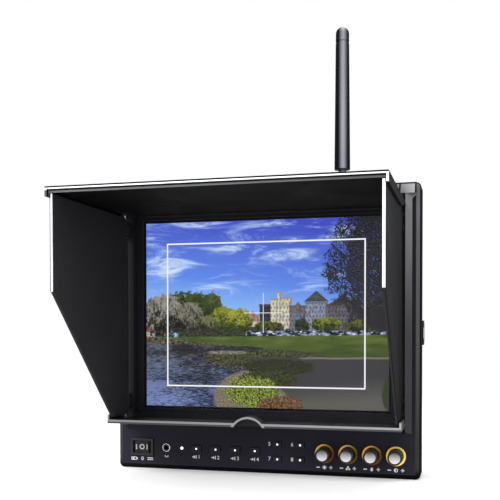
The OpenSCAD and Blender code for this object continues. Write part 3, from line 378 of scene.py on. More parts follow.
def frame_trim(t, dark):
    """Painted light and shade on the hood frame: a light grey top band, lighter upwards and outwards, and
    sloped sides painted paler towards the top, over its dark face, which is painted black as shade beside
    the flaps; black catch slits and edge lines are painted shade.
    """
    x, y, z = t.axes()
    out = t.size(x)
    # Painted shade: the face beside the flaps is black
    face = t.fade(out, 0.1092, 0.1096, dark, grey(0.002, 0.0025))
    # Painted light: the sloped sides are paler towards the top
    low_side = t.fade(z, 0.04, 0.11, grey(0.034, 0.037), grey(0.048, 0.052))
    side = t.mix(t.span(z, 0.10, 0.205, smooth=True), low_side, grey(0.20, 0.21))
    drift = t.noise(t.stretch(t.place(), (1.0, 1.0, 0.2)), 60.0, 3.0)
    side = t.mix(t.span(drift, 0.35, 0.65, 0.0, 0.2), side, grey(0.05, 0.055))
    sloped = t.span(out, SLOPE_START - 0.00005, SLOPE_START + 0.00005)
    ahead = t.span(y, FACE_Y - 0.0102, FACE_Y - 0.0098)
    trim = t.mix(t.times(sloped, ahead), face, side)
    # Painted light: the top band lightens upwards and outwards
    rise = t.span(z, BAND_LOW, BAND_LOW + 0.009)
    inner = t.mix(rise, grey(0.05, 0.053), grey(0.15, 0.155))
    outer = t.mix(rise, grey(0.24, 0.25), grey(0.28, 0.29))
    band = t.fade(out, 0.107, 0.1175, inner, outer)
    hair = t.noise(t.stretch(t.place(), (0.02, 1.0, 1.0)), 2400.0, 1.0)
    band = t.mix(t.span(hair, 0.56, 0.66, 0.0, 0.4), band, grey(0.12, 0.13))
    # Painted shade: black catch slits, and black lines along the top and outer edge
    from_catch = t.size(t.minus(out, CATCH_X))
    slit = t.times(t.span(from_catch, 0.0008, 0.0009), t.span(from_catch, 0.0022, 0.0021))
    rim = t.most(t.span(z, CASE_TOP - 0.0019, CASE_TOP - 0.0018), t.span(out, 0.1179, 0.1180))
    band = t.mix(t.most(slit, rim), band, grey(0.002))
    return t.fade(z, BAND_LOW - 0.00005, BAND_LOW + 0.00005, trim, band)


def casing_sides(t):
    """Mask of the casing's outside behind its sloped rim."""
    return t.span(t.axes()[1], FACE_Y + RIM_D - 0.0008, FACE_Y + RIM_D - 0.0006)


def casing_trim(t, face):
    """Painted light and shade on the casing: its sloped rim at the sides and top is painted greyer, lighter
    towards the top, as light; the rim at the foot and the sides behind the rim are painted black as shade.
    """
    x, y, z = t.axes()
    outer = t.most(t.span(t.size(x), CASE_HALF - RIM_W - 0.0002, CASE_HALF - RIM_W),
                   t.most(t.span(z, RIM_W + 0.0002, RIM_W),
                          t.span(z, CASE_TOP - RIM_W - 0.0002, CASE_TOP - RIM_W)))
    rim = t.times(outer, t.span(y, FACE_Y + 0.0002, FACE_Y + 0.0004))
    # Painted light: the rim is lighter towards the top
    tone = t.fade(z, 0.03, 0.21, grey(0.03, 0.033), grey(0.14, 0.15))
    # Painted shade: black rim at the foot
    tone = t.fade(z, RIM_W + 0.004, RIM_W, tone, grey(0.002))
    trimmed = t.mix(rim, face, tone)
    # Painted shade: black sides behind the rim
    return t.mix(t.times(outer, casing_sides(t)), trimmed, grey(0.003, 0.0035))


def flap_trim(t, dark):
    """Painted light and shade on the flaps: their outer side is painted paler at the top and darker towards
    the bottom, and black along the hinge as painted shadow.
    """
    x, y, z = t.axes()
    outside = t.span(t.size(x), FLAP_OUTSIDE - 0.0007, FLAP_OUTSIDE - 0.0004)
    # Painted light and shade: the outer side darkens towards the bottom
    shade = t.fade(z, 0.05, 0.19, grey(0.004, 0.005), rgba(0.015, 0.0155, 0.0175))
    # Painted shadow: black along the hinge
    hinge = t.span(y, FACE_Y - 0.0155, FACE_Y - 0.0145)
    return t.mix(outside, dark, t.mix(hinge, shade, grey(0.0015, 0.002)))


def floor_trim(t, dark):
    """Painted light on the floor panel's front edge: dark grey, with a painted highlight as a bright line on
    its lip and round the scoop, brighter towards the right.
    """
    x, y, z = t.axes()
    front = t.span(y, FLOOR_FRONT + 0.0009, FLOOR_FRONT + 0.0008)
    up = t.minus(z, SCOOP_MIDDLE_Z)
    far = t.reach(x, up)
    scoop = t.span(far, SCOOP_R + 0.0001, SCOOP_R)
    # Painted highlight: bright line on the lip and round the scoop
    line = t.most(t.span(z, FLOOR_TOP - 0.0006, FLOOR_TOP - 0.0004), scoop)
    bright = t.fade(x, -0.11, 0.11, grey(0.19, 0.2), grey(0.30, 0.31))
    return t.mix(front, dark, t.mix(line, grey(0.045, 0.05), bright))


def lid_trim(t, dark):
    """Painted light on the front of the lip under the lid: pale, paler towards the left, below a darker line
    of painted shade.
    """
    x, y, z = t.axes()
    near = t.math("LESS_THAN", t.size(t.minus(y, LID_LIP_FRONT)), 0.0003)
    # Painted light: pale front of the lip, paler at the left, under a darker line of painted shade
    pale = t.fade(x, -0.11, 0.11, grey(0.40, 0.41), grey(0.24, 0.25))
    front = t.fade(z, LID_LOW - 0.0008, LID_LOW - 0.0006, pale, grey(0.03, 0.035))
    return t.mix(t.times(near, t.span(z, LID_LOW + 0.0001, LID_LOW - 0.0001)), dark, front)


def strip_outline(t, bright):
    """Fine dark line along the top of the lid's bright strip and outside the left flap's."""
    x, _, z = t.axes()
    lid = t.span(z, LID_TOP - 0.0011, LID_TOP - 0.0010)
    flap = t.times(t.span(x, 0.0007 - FLAP_OUTSIDE, 0.0006 - FLAP_OUTSIDE),
                   t.span(z, LID_LOW, LID_LOW - 0.001))
    return t.mix(t.most(lid, t.times(flap, 0.9)), bright, grey(0.008, 0.009))


def cap_shade(t, silver):
    """Painted reflection on the knob caps: darker towards their upper edge and bright below, in slanting
    brushed streaks.
    """
    x, _, z = t.axes()
    slant = t.vector(t.plus(x, z), 0.0, t.times(t.minus(z, x), 0.08))
    streak = t.times(t.minus(t.noise(slant, 1800.0, 2.0), 0.5), 0.004)
    # Painted reflection: bright below, dark towards the upper edge
    down = t.span(t.plus(z, streak), ROW_Z + 0.0036, ROW_Z - 0.0042)
    return t.mix(down, grey(0.085, 0.09), t.mix(0.85, silver, grey(0.84, 0.85)))


def mast_shade(t, black):
    """Rubber sleeve of the mast, with a painted highlight: a light band along its front, on the side that
    faces the camera.
    """
    x, y, z = t.axes()
    right, back = t.minus(x, ANTENNA.x), t.minus(y, ANTENNA.y)
    across = t.plus(t.times(right, 0.987), t.times(back, 0.161))
    facing = t.plus(t.times(right, 0.161), t.times(back, -0.987))
    # Painted highlight: a light band down the side that faces the camera, fading towards the tip
    band = t.span(t.size(t.minus(across, 0.0006)), 0.0, 0.0039, 1.0, 0.0, smooth=True)
    lightened = t.times(band, t.span(facing, 0.0, 0.001))
    uneven = t.span(t.noise(t.stretch(t.place(), (1.0, 1.0, 0.15)), 90.0, 3.0), 0.3, 0.7, 0.8, 1.0)
    low = t.span(z, ANTENNA.z + 0.08, ANTENNA.z + 0.02, 0.75, 1.0)
    amount = t.times(t.times(lightened, uneven), low)
    return t.mix(amount, black, rgba(0.36, 0.37, 0.41))


def make_glass(name):
    """Cover glass with a thin wiped film."""
    material, t, shader = new_material(name)
    tint = t.group("uneven tone", Dark=rgba(0.97, 0.98, 0.99), Light=grey(1), Scale=8.0)
    t.coat(shader, {"Roughness": t.span(t.group("finger marks", Scale=9.0), 0.0, 1.0, 0.0, 0.03),
                    "Base Color": tint, "Transmission Weight": 1.0, "IOR": 1.12})
    return material


def make_board_green(name):
    """Solder mask with copper tracks under it."""
    material, t, shader = new_material(name)
    line = t.span(t.cells(t.stretch(t.place(), (1.0, 1.0, 3.0)), 260.0), 0.04, 0.08)
    t.coat(shader, {"Base Color": t.mix(line, rgba(0.05, 0.3, 0.12), rgba(0.012, 0.1, 0.04)),
                    "Roughness": t.lerp(line, 0.3, 0.45), "Normal": t.bump(t.inverse(line), 0.3, 0.00004)})
    return material


def make_lamp(name):
    """A milky lit dot or lens, brightest in its middle tone."""
    material, t, shader = new_material(name)
    cloud = t.noise(t.place(), 900.0, 2.0)
    milky = t.mix(cloud, rgba(0.82, 0.86, 0.92), rgba(0.98, 0.99, 1.0))
    t.coat(shader, {"Base Color": milky, "Emission Color": milky, "Emission Strength": 0.9,
                    "Roughness": t.lerp(cloud, 0.15, 0.3)})
    return material


def make_paint(name):
    """Screen-printed white with slightly uneven cover."""
    material, t, shader = new_material(name)
    cover = t.noise(t.place(), 2600.0, 3.0)
    t.coat(shader, {"Base Color": t.fade(cover, 0.3, 0.6, rgba(0.55, 0.56, 0.57), rgba(0.86, 0.87, 0.88)),
                    "Roughness": t.lerp(cover, 0.4, 0.6), "Normal": t.bump(cover, 0.2, 0.00002)})
    return material


# ---- The picture on the screen: a made-up lakeside park ----

PICTURE_MIDDLE = (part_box("display_cell")[0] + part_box("display_cell")[1]) / 2
PICTURE_HALF = (98.55, 73.9)
BORDER_BLACK = grey(0.002, 0.0025)


class Painter(Tree):
    """Lays flat colours over each other by masks that are worked out from the place on the screen."""

    def __init__(self, tree):
        super().__init__(tree)
        x, _, z = self.axes()
        self.x = self.times(self.minus(x, PICTURE_MIDDLE.x), 1000.0)
        self.z = self.times(self.minus(z, PICTURE_MIDDLE.z), 1000.0)
        self.flat = self.vector(self.x, 0.0, self.z)
        self.colour = BORDER_BLACK

    def lay(self, mask, colour):
        self.colour = self.mix(mask, self.colour, colour)

    def grain(self, scale, detail=4.0, stretch=(1.0, 1.0, 1.0), rough=0.6, warp=0.0, shift=0.0):
        feeds = {"Vector": self.flat, "Location": (shift, 0.0, shift), "Scale": stretch}
        mapped = self.node("ShaderNodeMapping", feeds).outputs[0]
        return self.noise(mapped, scale, detail, rough, warp)

    def below(self, line, soft=0.5):
        """Mask of what lies under a height."""
        over = self.minus(self.z, line)
        return self.span(over, soft, -soft)

    def sloped(self, height, slope):
        """A straight line: its height in the middle, and its rise per step to the right."""
        return self.plus(self.times(self.x, slope), height)

    def right_of(self, place, soft=0.5):
        return self.span(self.minus(self.x, place), -soft, soft)

    def clump(self, x, z, wide, high, ragged, leaf, shift=0.0):
        """Mask of a rounded crown with a ragged outline."""
        across = self.over(self.minus(self.x, x), wide)
        up = self.over(self.minus(self.z, z), high)
        far = self.reach(across, up)
        leaves = self.times(self.minus(self.grain(leaf, 9.0, rough=0.72, shift=shift), 0.5), ragged)
        return self.span(self.plus(far, leaves), 1.03, 0.97)

    def box(self, left, right, low, high, soft=0.3):
        wide = self.times(self.right_of(left, soft), self.inverse(self.right_of(right, soft)))
        tall = self.times(self.below(high, soft), self.inverse(self.below(low, soft)))
        return self.times(wide, tall)


def paint_sky(p):
    drift = p.plus(p.span(p.z, -16.0, 72.0), p.times(p.x, 0.0012))
    blue = p.fade(drift, 0.0, 0.45, rgba(0.34, 0.62, 0.95), rgba(0.12, 0.26, 0.82))
    p.lay(1.0, p.fade(drift, 0.40, 1.0, blue, rgba(0.055, 0.075, 0.53)))
    spread = 0.0
    for x, z, wide, high in ((-52, 74, 30, 7), (6, 66, 34, 12), (-28, 50, 30, 6), (22, 46, 26, 6),
                             (-26, 23, 26, 9), (-78, 38, 26, 12), (40, 22, 18, 6), (60, 60, 18, 8),
                             (-88, 66, 18, 8)):
        across = p.over(p.minus(p.x, x), wide)
        up = p.over(p.minus(p.minus(p.z, z), p.times(across, 3.0)), high)
        far = p.reach(across, up)
        spread = p.most(spread, p.span(far, 1.7, 0.0, smooth=True))
    wisps = p.grain(0.045, 10.0, (0.45, 1.0, 1.8), 0.70, 1.2, 3.0)
    thick = p.plus(p.times(spread, 0.36), p.times(p.minus(wisps, 0.5), 2.8))
    p.lay(p.span(thick, 0.05, 0.65, 0.0, 0.6, smooth=True), rgba(0.48, 0.68, 0.96))
    p.lay(p.span(thick, 0.32, 0.90, 0.0, 0.7, smooth=True), rgba(0.85, 0.92, 0.98))


def paint_houses(p):
    """A row of pale houses on the far shore, each with its own height, wall and roof."""
    lots = ((-14.0, -3.5, -1.0, (0.70, 0.66, 0.55)), (-3.0, 6.5, 7.0, (0.04, 0.045, 0.06)),
            (6.0, 12.0, 11.5, (0.80, 0.76, 0.58)), (11.5, 14.5, 17.0, (0.85, 0.80, 0.62)),
            (14.0, 23.0, 12.5, (0.76, 0.71, 0.54)), (21.0, 34.0, 6.0, (0.20, 0.21, 0.28)),
            (34.0, 51.0, 8.5, (0.30, 0.33, 0.44)), (51.0, 74.0, 7.0, (0.15, 0.14, 0.17)),
            (74.0, 99.0, 3.0, (0.10, 0.085, 0.09)), (-99.0, -90.0, -9.0, (0.70, 0.66, 0.6)))
    windows = p.node("ShaderNodeTexBrick", {"Vector": p.vector(p.x, p.z, 0.0), "Color1": grey(0),
                                            "Color2": grey(0.25), "Mortar": grey(1), "Scale": 1.0,
                                            "Mortar Size": 0.95, "Mortar Smooth": 0.3, "Brick Width": 2.6,
                                            "Row Height": 3.3}, offset=0.35).outputs[0]
    stain = p.grain(0.5, 7.0, (1.0, 1.0, 0.6), 0.72, 0.0, 33.0)
    for left, right, top, wall in lots:
        shade = rgba(*(0.22 * v for v in wall))
        side = p.mix(p.span(stain, 0.4, 0.62, 0.0, 0.75), p.mix(windows, shade, rgba(*wall)), shade)
        p.lay(p.box(left, right, -24.0, top), side)
        p.lay(p.box(left - 0.5, right + 0.5, top - 0.5, top + 0.8), rgba(*(0.35 * v + 0.03 for v in wall)))
        p.lay(p.box(right - 1.4, right, -24.0, top), rgba(*(0.35 * v for v in wall)))
    roofs = ((28.0, 7.5, 9.5, (0.12, 0.095, 0.085)), (42.5, 10.0, 18.0, (0.05, 0.06, 0.05)),
             (63.0, 13.0, 14.5, (0.07, 0.055, 0.055)), (87.0, 13.0, 9.0, (0.09, 0.06, 0.05)),
             (-96.0, 7.0, -5.5, (0.35, 0.06, 0.04)), (-8.5, 6.5, 3.0, (0.26, 0.16, 0.11)))
    for middle, wide, top, roof in roofs:
        ridge = p.minus(top, p.times(p.size(p.minus(p.x, middle)), 8.5 / wide))
        eaves = p.box(middle - wide, middle + wide, top - 8.5, 30.0)
        slates = p.fade(stain, 0.4, 0.6, rgba(*(0.6 * v for v in roof)), rgba(*(1.7 * v for v in roof)))
        p.lay(p.times(p.below(ridge), eaves), slates)


def paint_trees(p):
    """Tree crowns: far hedges first, then dark firs, willows and a sunlit row over them."""
    crowns = (
        # x, z, half width, half height, ragged, leaf size, drooping, dark, light
        (-8.0, -15.0, 34.0, 5.0, 1.2, 0.30, 1.0, (0.003, 0.005, 0.002), (0.05, 0.05, 0.02)),
        (-42.0, 1.0, 9.0, 17.0, 1.7, 0.22, 1.0, (0.002, 0.008, 0.001), (0.09, 0.11, 0.02)),
        (-55.0, 3.0, 13.0, 15.0, 1.8, 0.24, 1.0, (0.002, 0.007, 0.001), (0.05, 0.08, 0.012)),
        (-70.0, 6.0, 13.0, 12.0, 1.8, 0.24, 1.0, (0.003, 0.008, 0.001), (0.06, 0.09, 0.02)),
        (-33.0, -4.0, 11.0, 10.0, 1.3, 0.26, 1.0, (0.02, 0.035, 0.002), (0.24, 0.27, 0.025)),
        (-20.0, -5.0, 11.0, 9.5, 1.3, 0.26, 1.0, (0.022, 0.038, 0.002), (0.34, 0.36, 0.035)),
        (-83.0, -1.0, 18.0, 18.0, 1.4, 0.24, 0.5, (0.010, 0.010, 0.008), (0.30, 0.29, 0.25)),
        (-62.0, -4.0, 13.0, 14.0, 1.5, 0.26, 0.5, (0.008, 0.008, 0.005), (0.22, 0.21, 0.16)),
        (-47.0, -9.0, 9.0, 8.0, 1.5, 0.28, 0.6, (0.012, 0.014, 0.006), (0.17, 0.17, 0.08)),
        (5.0, -10.0, 12.0, 4.5, 1.3, 0.35, 1.0, (0.008, 0.014, 0.002), (0.13, 0.14, 0.025)),
        (50.0, -8.0, 12.0, 5.5, 1.3, 0.32, 1.0, (0.014, 0.025, 0.003), (0.20, 0.25, 0.03)),
        (76.0, -9.0, 12.0, 4.5, 1.3, 0.32, 1.0, (0.010, 0.018, 0.003), (0.13, 0.15, 0.02)),
        (31.0, -10.0, 6.0, 6.5, 1.5, 0.35, 1.0, (0.003, 0.005, 0.003), (0.05, 0.06, 0.03)),
    )
    for step, (x, z, wide, high, ragged, leaf, droop, dark, light) in enumerate(crowns):
        shift = 17.0 * step
        leaves = p.grain(0.48, 9.0, (1.0, 1.0, droop), 0.78, 0.8, shift)
        masses = p.grain(0.15, 4.0, shift=shift + 5.0)
        up = p.times(p.minus(p.z, z), 0.07 / high)
        sun = p.plus(up, p.lerp(0.3, leaves, masses))
        tone = p.fade(sun, 0.47, 0.56, rgba(*dark), rgba(*light))
        p.lay(p.clump(x, z, wide, high, ragged, leaf, shift), tone)


def paint_shore(p):
    """Parked cars as a broken dark band, then the lawn with mown tones."""
    shade = p.box(-72.0, -6.0, -23.0, -13.0, 1.5)
    p.lay(shade, p.fade(p.grain(0.5, 7.0, rough=0.75), 0.45, 0.62, rgba(0.004, 0.006, 0.003),
                        grey(0.10, 0.07)))
    cars = p.box(-14.0, 99.0, -17.6, -13.2, 0.6)
    bodies = p.grain(0.22, 4.0, (0.7, 1.0, 1.6), 0.6, 0.0, 5.0)
    p.lay(cars, p.fade(bodies, 0.50, 0.57, rgba(0.006, 0.007, 0.014), rgba(0.26, 0.32, 0.52)))
    p.lay(p.times(cars, p.span(p.grain(0.25, 3.0, (0.8, 1.0, 1.8), shift=61.0), 0.58, 0.62)),
          rgba(0.85, 0.88, 0.95))
    edge = p.plus(p.sloped(-17.8, 0.012), p.times(p.grain(0.3, 3.0, shift=3.0), 1.2))
    mown = p.lerp(0.45, p.grain(0.12, 5.0, (0.35, 1.0, 1.8)), p.grain(1.3, 5.0, (0.7, 1.0, 1.2), 0.75))
    lawn = p.fade(mown, 0.40, 0.60, rgba(0.040, 0.070, 0.012), rgba(0.125, 0.165, 0.030))
    p.lay(p.below(edge), p.mix(p.span(p.z, -20.0, -36.0, 0.0, 0.75), lawn, rgba(0.028, 0.045, 0.010)))
    bank = p.plus(p.sloped(-30.0, -0.10), p.times(p.grain(0.10, 5.0), 5.0))
    left = p.inverse(p.right_of(-20.0, 8.0))
    earth = p.fade(p.grain(0.5, 8.0, (0.7, 1.0, 1.3), 0.78), 0.46, 0.57, rgba(0.010, 0.011, 0.006),
                   rgba(0.20, 0.17, 0.10))
    p.lay(p.times(p.below(bank, 0.8), left), earth)


def paint_water(p):
    """Rippled water, bright with sky at the left and dark under the trees, and a stone-edged spit."""
    shore = p.plus(p.sloped(-27.5, -0.03), p.times(p.grain(0.10, 5.0, shift=9.0), 3.0))
    water = p.times(p.below(shore, 0.4), p.inverse(p.right_of(0.0, 1.0)))
    fine = p.grain(0.55, 8.0, (0.40, 1.0, 2.2), 0.72, 0.6)
    broad = p.grain(0.07, 3.0, (0.5, 1.0, 1.6), 0.6, 0.3, 15.0)
    near = p.span(p.z, -30.0, -72.0)
    side = p.span(p.x, -98.0, -70.0, 0.09, 0.0)
    lit = p.plus(p.lerp(0.3, fine, broad), p.plus(side, p.times(near, 0.04)))
    dark = p.mix(near, rgba(0.012, 0.014, 0.014), rgba(0.016, 0.022, 0.050))
    bright = p.mix(near, rgba(0.12, 0.135, 0.17), rgba(0.19, 0.26, 0.52))
    p.lay(water, p.fade(lit, 0.50, 0.60, dark, bright))
    stones = p.span(p.grain(0.55, 7.0, (0.7, 1.0, 1.1), 0.75, 0.5), 0.46, 0.56)
    p.lay(p.clump(2.0, -36.5, 53.0, 8.0, 0.25, 0.08, 19.0),
          p.mix(stones, grey(0.006), rgba(0.13, 0.12, 0.10)))
    turf = p.fade(p.grain(0.5, 9.0, rough=0.78), 0.46, 0.56, rgba(0.008, 0.011, 0.004),
                  rgba(0.11, 0.12, 0.04))
    p.lay(p.clump(4.0, -33.8, 51.0, 5.8, 0.3, 0.08, 23.0), turf)
    p.lay(p.clump(-30.0, -30.4, 18.0, 1.6, 0.5, 0.2, 29.0),
          p.mix(stones, rgba(0.07, 0.065, 0.05), rgba(0.30, 0.27, 0.21)))


def paint_path(p):
    """Grey path that widens towards the right corner, with kerb, near bank and bushes."""
    kerb_stone = p.fade(p.grain(1.0, 7.0, rough=0.75), 0.40, 0.62, rgba(0.045, 0.038, 0.026),
                        rgba(0.36, 0.31, 0.22))
    p.lay(p.clump(4.0, -66.0, 45.0, 24.0, 0.12, 0.06, 31.0), kerb_stone)
    grain = p.grain(1.6, 6.0, (0.5, 1.0, 1.4), 0.75)
    tarmac = p.fade(grain, 0.35, 0.65, grey(0.022, 0.028), rgba(0.070, 0.068, 0.072))
    worn = p.fade(grain, 0.35, 0.65, rgba(0.070, 0.068, 0.062), rgba(0.15, 0.145, 0.13))
    far_edge = p.plus(p.sloped(-34.5, 0.004), p.times(p.grain(0.04, 2.0), 1.5))
    side = p.plus(p.times(p.plus(p.z, 46.0), -0.93), p.times(p.grain(0.3, 4.0), 5.0))
    inside = p.times(p.below(far_edge, 0.5), p.right_of(side, 1.0))
    low = p.span(p.plus(p.z, p.times(p.x, -0.1)), -58.0, -76.0)
    p.lay(inside, p.mix(low, tarmac, worn))
    kerb = p.times(p.inverse(p.below(p.minus(far_edge, 1.3), 0.4)), inside)
    p.lay(p.times(kerb, p.right_of(30.0, 3.0)), rgba(0.20, 0.18, 0.13))
    grass = p.fade(grain, 0.4, 0.6, rgba(0.010, 0.016, 0.006), rgba(0.06, 0.08, 0.025))
    p.lay(p.clump(106.0, -62.0, 13.0, 16.0, 0.8, 0.1, 5.0), grass)
    for x, z, wide, high, dark, light, shift in (
            (12.0, -41.5, 29.0, 6.0, (0.004, 0.006, 0.002), (0.06, 0.065, 0.02), 41.0),
            (4.0, -51.0, 24.0, 7.0, (0.005, 0.008, 0.003), (0.08, 0.095, 0.025), 47.0),
            (-9.0, -61.0, 22.0, 12.0, (0.008, 0.018, 0.001), (0.40, 0.48, 0.07), 53.0),
            (14.0, -70.5, 18.0, 6.0, (0.020, 0.012, 0.004), (0.34, 0.17, 0.08), 67.0)):
        leaves = p.grain(0.65, 9.0, rough=0.78, warp=0.8, shift=shift)
        tone = p.fade(leaves, 0.46, 0.58, rgba(*dark), rgba(*light))
        p.lay(p.clump(x, z, wide, high, 1.3, 0.25, shift), tone)


def paint_near_tree(p):
    """Bare-branched tree that hangs in from the right, over everything."""
    twigs = p.grain(0.50, 10.0, rough=0.80, warp=1.6, shift=71.0)
    crown = p.clump(98.0, 38.0, 48.0, 52.0, 1.3, 0.10, 83.0)
    deep = p.clump(103.0, 34.0, 36.0, 56.0, 1.0, 0.10, 83.0)
    bent = p.times(p.minus(p.grain(0.08, 4.0, shift=37.0), 0.5), 14.0)
    net = p.vector(p.plus(p.x, bent), p.minus(p.z, bent), 0.0)
    boughs = p.span(p.cells(net, 0.15), 0.085, 0.045)
    small = p.span(p.cells(net, 0.50), p.lerp(deep, 0.15, 0.24), p.lerp(deep, 0.07, 0.13))
    spray = p.span(p.minus(twigs, p.lerp(deep, 0.53, 0.45)), 0.0, 0.02)
    wood = p.most(p.most(boughs, small), spray)
    bark = p.grain(1.1, 6.0, rough=0.75, shift=91.0)
    p.lay(p.times(crown, wood), p.fade(bark, 0.48, 0.60, grey(0.002, 0.004), rgba(0.075, 0.07, 0.072)))


def paint_guides(p):
    """White frame guide and centre cross."""
    left, right, low, high, line = -80.2, 80.2, -57.3, 56.8, 0.55
    outer = p.box(left - line, right + line, low - line, high + line, 0.15)
    inner = p.box(left + line, right - line, low + line, high - line, 0.15)
    p.lay(p.times(outer, p.inverse(inner)), rgba(0.95, 0.96, 0.98))
    middle, arm, thin = 1.0, 15.7, 0.3
    p.lay(p.times(p.box(-arm, arm, middle - thin, middle + thin, 0.15), 0.75), rgba(0.9, 0.92, 0.95))
    p.lay(p.times(p.box(-thin, thin, middle - arm, middle + arm, 0.15), 0.75), rgba(0.9, 0.92, 0.95))


def make_picture(name):
    """The lit picture inside its black border."""
    material, t, shader = new_material(name)
    p = Painter(t.tree)
    for paint in (paint_sky, paint_houses, paint_trees, paint_shore, paint_water, paint_path,
                  paint_near_tree, paint_guides):
        paint(p)
    half_w, half_h = PICTURE_HALF
    lit = p.box(-half_w, half_w, -half_h, half_h, 0.05)
    p.coat(shader, {"Emission Color": p.mix(lit, BORDER_BLACK, p.colour), "Emission Strength": 1.0,
                    "Base Color": p.mix(lit, BORDER_BLACK, grey(0.01, 0.012)), "Specular IOR Level": 0.1,
                    "Roughness": p.span(p.grain(0.1), 0.0, 1.0, 0.5, 0.6)})
    return material


# Name: dark tone, light tone, roughness, grain, its depth, gloss, amount of worn and highlighted edges, trim
# of painted light and shade, dead-matt places
PLASTICS = {
    "dark_case": ((0.019, 0.0178, 0.0255), (0.024, 0.0224, 0.032), (0.5, 0.66), 1400.0, 0.35, 0.04, 0.3,
                  casing_trim, casing_sides),
    "rear_case": ((0.010, 0.010, 0.0115), (0.014, 0.014, 0.016), (0.55, 0.7), 1400.0, 0.4, 0.08, 0.3),
    "dark_hood": ((0.010, 0.010, 0.0115), (0.015, 0.015, 0.0165), (0.5, 0.65), 2300.0, 0.16, 0.1, 0.2),
    # A lighter copy of the hood plastic, as painted light
    "flap_panel_painted_light": ((0.026, 0.0255, 0.029), (0.034, 0.033, 0.037), (0.6, 0.75), 2300.0, 0.16, 0.02, 0.2,
                   flap_trim),
    "floor_panel": ((0.008, 0.008, 0.0095), (0.013, 0.013, 0.0145), (0.4, 0.6), 2300.0, 0.16, 0.2, 0.2,
                    floor_trim),
    # A darker copy of the hood plastic, as painted shade
    "lid_panel_painted_shade": ((0.0035, 0.0035, 0.004), (0.005, 0.005, 0.0055), (0.6, 0.75), 2300.0, 0.16, 0.05, 0.15,
                  lid_trim),
    "frame_grey": ((0.012, 0.012, 0.014), (0.019, 0.019, 0.022), (0.5, 0.65), 2000.0, 0.15, 0.06, 0.06,
                   frame_trim),
    # Light grey, as painted light, like the frame's top band
    "band_corner_painted_light": ((0.17, 0.17, 0.18), (0.24, 0.24, 0.25), (0.4, 0.55), 2000.0, 0.15, 0.1, 0.1),
    "diffuser": ((0.72, 0.73, 0.75), (0.85, 0.86, 0.88), (0.5, 0.6), 1800.0, 0.1, 0.3, 0.35),
    "black_plastic": ((0.006, 0.006, 0.007), (0.011, 0.011, 0.012), (0.35, 0.5), 1900.0, 0.2, 0.3, 0.4),
    "button_plastic": ((0.011, 0.011, 0.0135), (0.016, 0.016, 0.019), (0.42, 0.56), 2400.0, 0.15, 0.15, 0.5),
    "antenna_black": ((0.001, 0.001, 0.0012), (0.0022, 0.0022, 0.0025), (0.6, 0.75), 1700.0, 0.08, 0.06, 0.1,
                      mast_shade),
}

# Name: dark tone, light tone, roughness, how its lines run, their depth, amount of worn and highlighted
# edges, trim (on the caps a painted reflection)
METALS = {
    "edge_silver": ((0.80, 0.80, 0.82), (0.93, 0.93, 0.95), (0.42, 0.6), (0.08, 1.0, 1.0), 0.15, 0.25,
                    strip_outline),
    "steel": ((0.42, 0.43, 0.45), (0.62, 0.63, 0.65), (0.22, 0.4), (1.0, 0.15, 1.0)),
    "tray_metal": ((0.5, 0.51, 0.53), (0.66, 0.67, 0.69), (0.3, 0.5), (0.1, 1.0, 1.0)),
    "can_metal": ((0.55, 0.56, 0.58), (0.72, 0.73, 0.75), (0.25, 0.42), (1.0, 1.0, 0.1)),
    "cap_silver": ((0.30, 0.305, 0.315), (0.50, 0.505, 0.515), (0.28, 0.42), (0.12, 1.0, 1.0), 0.3, 0.2,
                   cap_shade),
    "brass_plate": ((0.62, 0.44, 0.17), (0.8, 0.62, 0.3), (0.2, 0.36), (1.0, 1.0, 0.12)),
    "contact_gold": ((0.8, 0.56, 0.2), (0.92, 0.72, 0.36), (0.16, 0.3), (1.0, 1.0, 0.1)),
    "socket_silver": ((0.75, 0.76, 0.78), (0.9, 0.9, 0.92), (0.2, 0.3), (1.0, 0.1, 1.0)),
}

OTHERS = {"glass": make_glass, "picture": make_picture, "board_green": make_board_green,
          "ring_gold": make_ring_gold, "lamp_white": make_lamp, "paint_white": make_paint}


def make_finishes():
    """Every finish by the name of the record's material slot, and a few that only trim uses."""
    made = {name: plastic(name, *values) for name, values in PLASTICS.items()}
    made.update((name, metal(name, *values)) for name, values in METALS.items())
    made.update((name, make(name)) for name, make in OTHERS.items())
    return made


# ---- Shaping by hand ----

def only(piece):
    """Nothing but this piece is selected and active."""
    bpy.ops.object.select_all(action="DESELECT")
    piece.select_set(True)
    bpy.context.view_layer.objects.active = piece


@contextmanager
def editing(piece):
    """Edit mode on one piece, with all of it selected."""
    only(piece)
    bpy.ops.object.mode_set(mode="EDIT")
    bpy.ops.mesh.select_all(action="SELECT")
    yield
    bpy.ops.object.mode_set(mode="OBJECT")


def close_up(gap):
    """Merges what lies together in all of the mesh and points its faces outwards."""
    bpy.ops.mesh.select_all(action="SELECT")
    bpy.ops.mesh.remove_doubles(threshold=gap)
    bpy.ops.mesh.normals_make_consistent(inside=False)


def pick(piece, mode, wanted):
    """In edit mode, selects the vertices or faces that pass a test."""
    bpy.ops.mesh.select_mode(type=mode)
    bpy.ops.mesh.select_all(action="DESELECT")
    form = bmesh.from_edit_mesh(piece.data)
    for element in {"VERT": form.verts, "FACE": form.faces}[mode]:
        if wanted(element):
            element.select_set(True)
    bmesh.update_edit_mesh(piece.data)


def settle(piece, name):
    """The piece's place and size go into its mesh, and it gets its name."""
    only(piece)
    bpy.ops.object.transform_apply(location=True, rotation=True, scale=True)
    piece.name = name
    piece.data.name = name
    return piece


def copy_to(piece, name, step):
    """A copy with its own mesh, a step away."""
    twin = bpy.data.objects.new(name, piece.data.copy())
    twin.data.name = name
    twin.data.transform(Matrix.Translation(step))
    bpy.context.scene.collection.objects.link(twin)
    return twin


